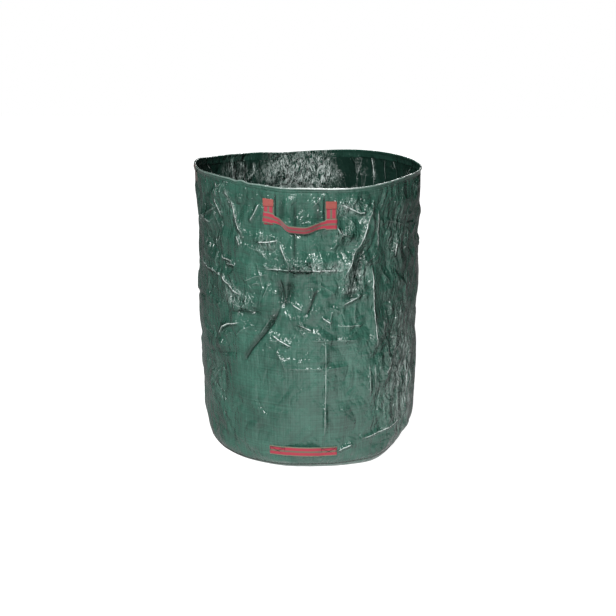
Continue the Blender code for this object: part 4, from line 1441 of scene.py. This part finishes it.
class BAG_OT_seam_tapes(BagOperator, bpy.types.Operator):
    """Bind the side seam and the base seam with tape, inside the bag"""
    bl_idname = "bag.seam_tapes"
    bl_label = "Seam tapes"

    def execute(self, context):
        finish = plain_material("seam_tape", (0.025, 0.075, 0.055), 0.6, 500)
        for name, part, node in (("side_binding", self.side(), "side_seam_tape"),
                                 ("base_binding", self.base(), "base_seam_tape")):
            piece = add_piece(name, [part], (finish,))
            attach(piece, "bag")
            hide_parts(node)
        return {"FINISHED"}

    def side(self):
        """Tape up the inside of the wall, over the seam of its two halves at the left."""
        low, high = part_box("side_seam_tape")
        height = np.linspace(low.z, high.z, 90)
        lift = -bpy.context.scene.bag_cloth.thickness - 0.9 * MM
        return strap_up(-np.pi / 2, height, lift, (high.y - low.y) / 2, strap_section(1.2 * MM))

    def base(self):
        """Bound edges of wall and base, standing inwards and up from their seam.

        Each point is the seam's point + along * s + square * t, where along points inwards and up
        at a slope of 3 in 4, and square is square to it. The edge sways by smooth noise.
        """
        turn, around = once_round(BINDING_STEPS)
        seam = place(turn, SEAM_HEIGHT + 2 * MM, -1.2 * MM)
        outward = np.stack([np.sin(turn), -np.cos(turn), 0 * turn], -1)
        up = np.array([0, 0, 1.0])
        along, square = 0.6 * up - 0.8 * outward, 0.8 * up + 0.6 * outward
        sway = 0.8 * MM * waves(np.random.default_rng(BINDING_SEED), turn, 0 * turn, 0.05)
        section = np.array(BINDING_SECTION) * MM
        share = section[:, 0] / section[:, 0].max()
        points = np.stack([seam + along * s + square * (t + sway * part)[:, None]
                           for (s, t), part in zip(section, share)])
        down = np.arange(len(section) + 1) * 2 * MM
        return grid(points, uv_grid(around * DRUM_RADIUS, down), round_rows=True,
                    round_columns=True)


class BAG_OT_stage(BagOperator, bpy.types.Operator):
    """Set the pale floor, the soft lights and the camera"""
    bl_idname = "bag.stage"
    bl_label = "Stage"

    def execute(self, context):
        stage = context.scene.bag_stage
        camera = add_object("camera", bpy.data.cameras.new("camera"))
        camera.data.lens = 50
        camera.location = (stage.distance * math.sin(stage.azimuth),
                           -stage.distance * math.cos(stage.azimuth), stage.height)
        camera.rotation_euler = (math.pi / 2 - stage.pitch, 0, stage.azimuth)
        context.scene.camera = camera
        self.light("key", (-1.05, -5.9, 4.1), (2.9, 2.0), stage.key)
        self.light("back", (0.8, 6.0, 3.6), (2.4, 1.6), stage.back)
        self.floor(stage)
        self.room(stage)
        context.scene.view_settings.view_transform = "Standard"
        return {"FINISHED"}

    def light(self, name, at, size, power):
        """A soft light that shines on the middle of the bag."""
        lamp = add_object(name, bpy.data.lights.new(name, "AREA"))
        lamp.data.shape = "RECTANGLE"
        lamp.data.size, lamp.data.size_y = size
        lamp.data.energy = power
        lamp.location = at
        aim = np.array((0, 0, LIT_HEIGHT)) - np.array(at)
        lamp.rotation_euler = (math.atan2(math.hypot(aim[0], aim[1]), -aim[2]), 0,
                               math.atan2(-aim[0], aim[1]))

    def floor(self, stage):
        """A floor that is white to the camera, and whose glow lights the bag's foot from near it."""
        material, nodes = new_material("floor")
        spot = nodes.add("Mapping", Vector=nodes.add("TexCoord").outputs["Object"],
                         Location=(-0.40, 1.15, 0), Scale=(1.5, 1, 1)).outputs[0]
        away = nodes.add("VectorMath", {"operation": "LENGTH"}, Vector=spot).outputs["Value"]
        fall = nodes.spread(away, 0.35, 1.5, stage.floor_near, stage.floor_far,
                            interpolation_type="SMOOTHSTEP")
        seen = nodes.add("LightPath").outputs["Is Camera Ray"]
        nodes.finish("Principled BSDF", Base_Color=(0.3, 0.3, 0.3, 1), Roughness=0.9,
                     Emission_Color=(1, 1, 1, 1), Emission_Strength=nodes.spread(seen, 0, 1, fall))
        x, y = np.meshgrid(*[np.linspace(-FLOOR_REACH, FLOOR_REACH, 3)] * 2)
        points = np.stack([x, y, 0 * x - 0.5 * MM], -1)
        floor = add_object("floor", mesh_of("floor", [grid(points, points[..., :2])]))
        floor.data.materials.append(material)

    def room(self, stage):
        """A room that is white to the camera and gives little light."""
        world = bpy.data.worlds.new("room")
        bpy.context.scene.world = world
        nodes = Nodes(world)
        seen = nodes.add("LightPath").outputs["Is Camera Ray"]
        nodes.finish("Background", Color=(1, 1, 1, 1),
                     Strength=nodes.spread(seen, 0, 1, stage.surround))


OPERATORS = (BAG_OT_wall, BAG_OT_base, BAG_OT_hem, BAG_OT_carrying_handles, BAG_OT_tipping_handle,
             BAG_OT_stitching, BAG_OT_seam_tapes, BAG_OT_stage)
GROUPS = {"bag_cloth": BagCloth, "bag_webbing": BagWebbing, "bag_thread": BagThread,
          "bag_stage": BagStage}


class BAG_PT_panel(bpy.types.Panel):
    """Lists the bag's pieces in the sidebar"""
    bl_idname = "BAG_PT_panel"
    bl_label = "Garden Waste Bag"
    bl_space_type = "VIEW_3D"
    bl_region_type = "UI"
    bl_category = "Bag"

    def draw(self, context):
        for operator in OPERATORS:
            self.layout.operator(operator.bl_idname)
        for name, group in GROUPS.items():
            box = self.layout.box()
            for key in group.__annotations__:
                box.prop(getattr(context.scene, name), key)


def register():
    for group in GROUPS.values():
        bpy.utils.register_class(group)
    for name, group in GROUPS.items():
        setattr(bpy.types.Scene, name, bpy.props.PointerProperty(type=group))
    for operator in OPERATORS:
        bpy.utils.register_class(operator)
    bpy.utils.register_class(BAG_PT_panel)


def unregister():
    bpy.utils.unregister_class(BAG_PT_panel)
    for operator in reversed(OPERATORS):
        bpy.utils.unregister_class(operator)
    for name in GROUPS:
        delattr(bpy.types.Scene, name)
    for group in GROUPS.values():
        bpy.utils.unregister_class(group)


def main():
    register()
    bpy.ops.bag.wall()
    bpy.ops.bag.base()
    bpy.ops.bag.hem()
    bpy.ops.bag.carrying_handles()
    bpy.ops.bag.tipping_handle()
    bpy.ops.bag.stitching()
    bpy.ops.bag.seam_tapes()
    bpy.ops.bag.stage()


if __name__ == "__main__":
    main()
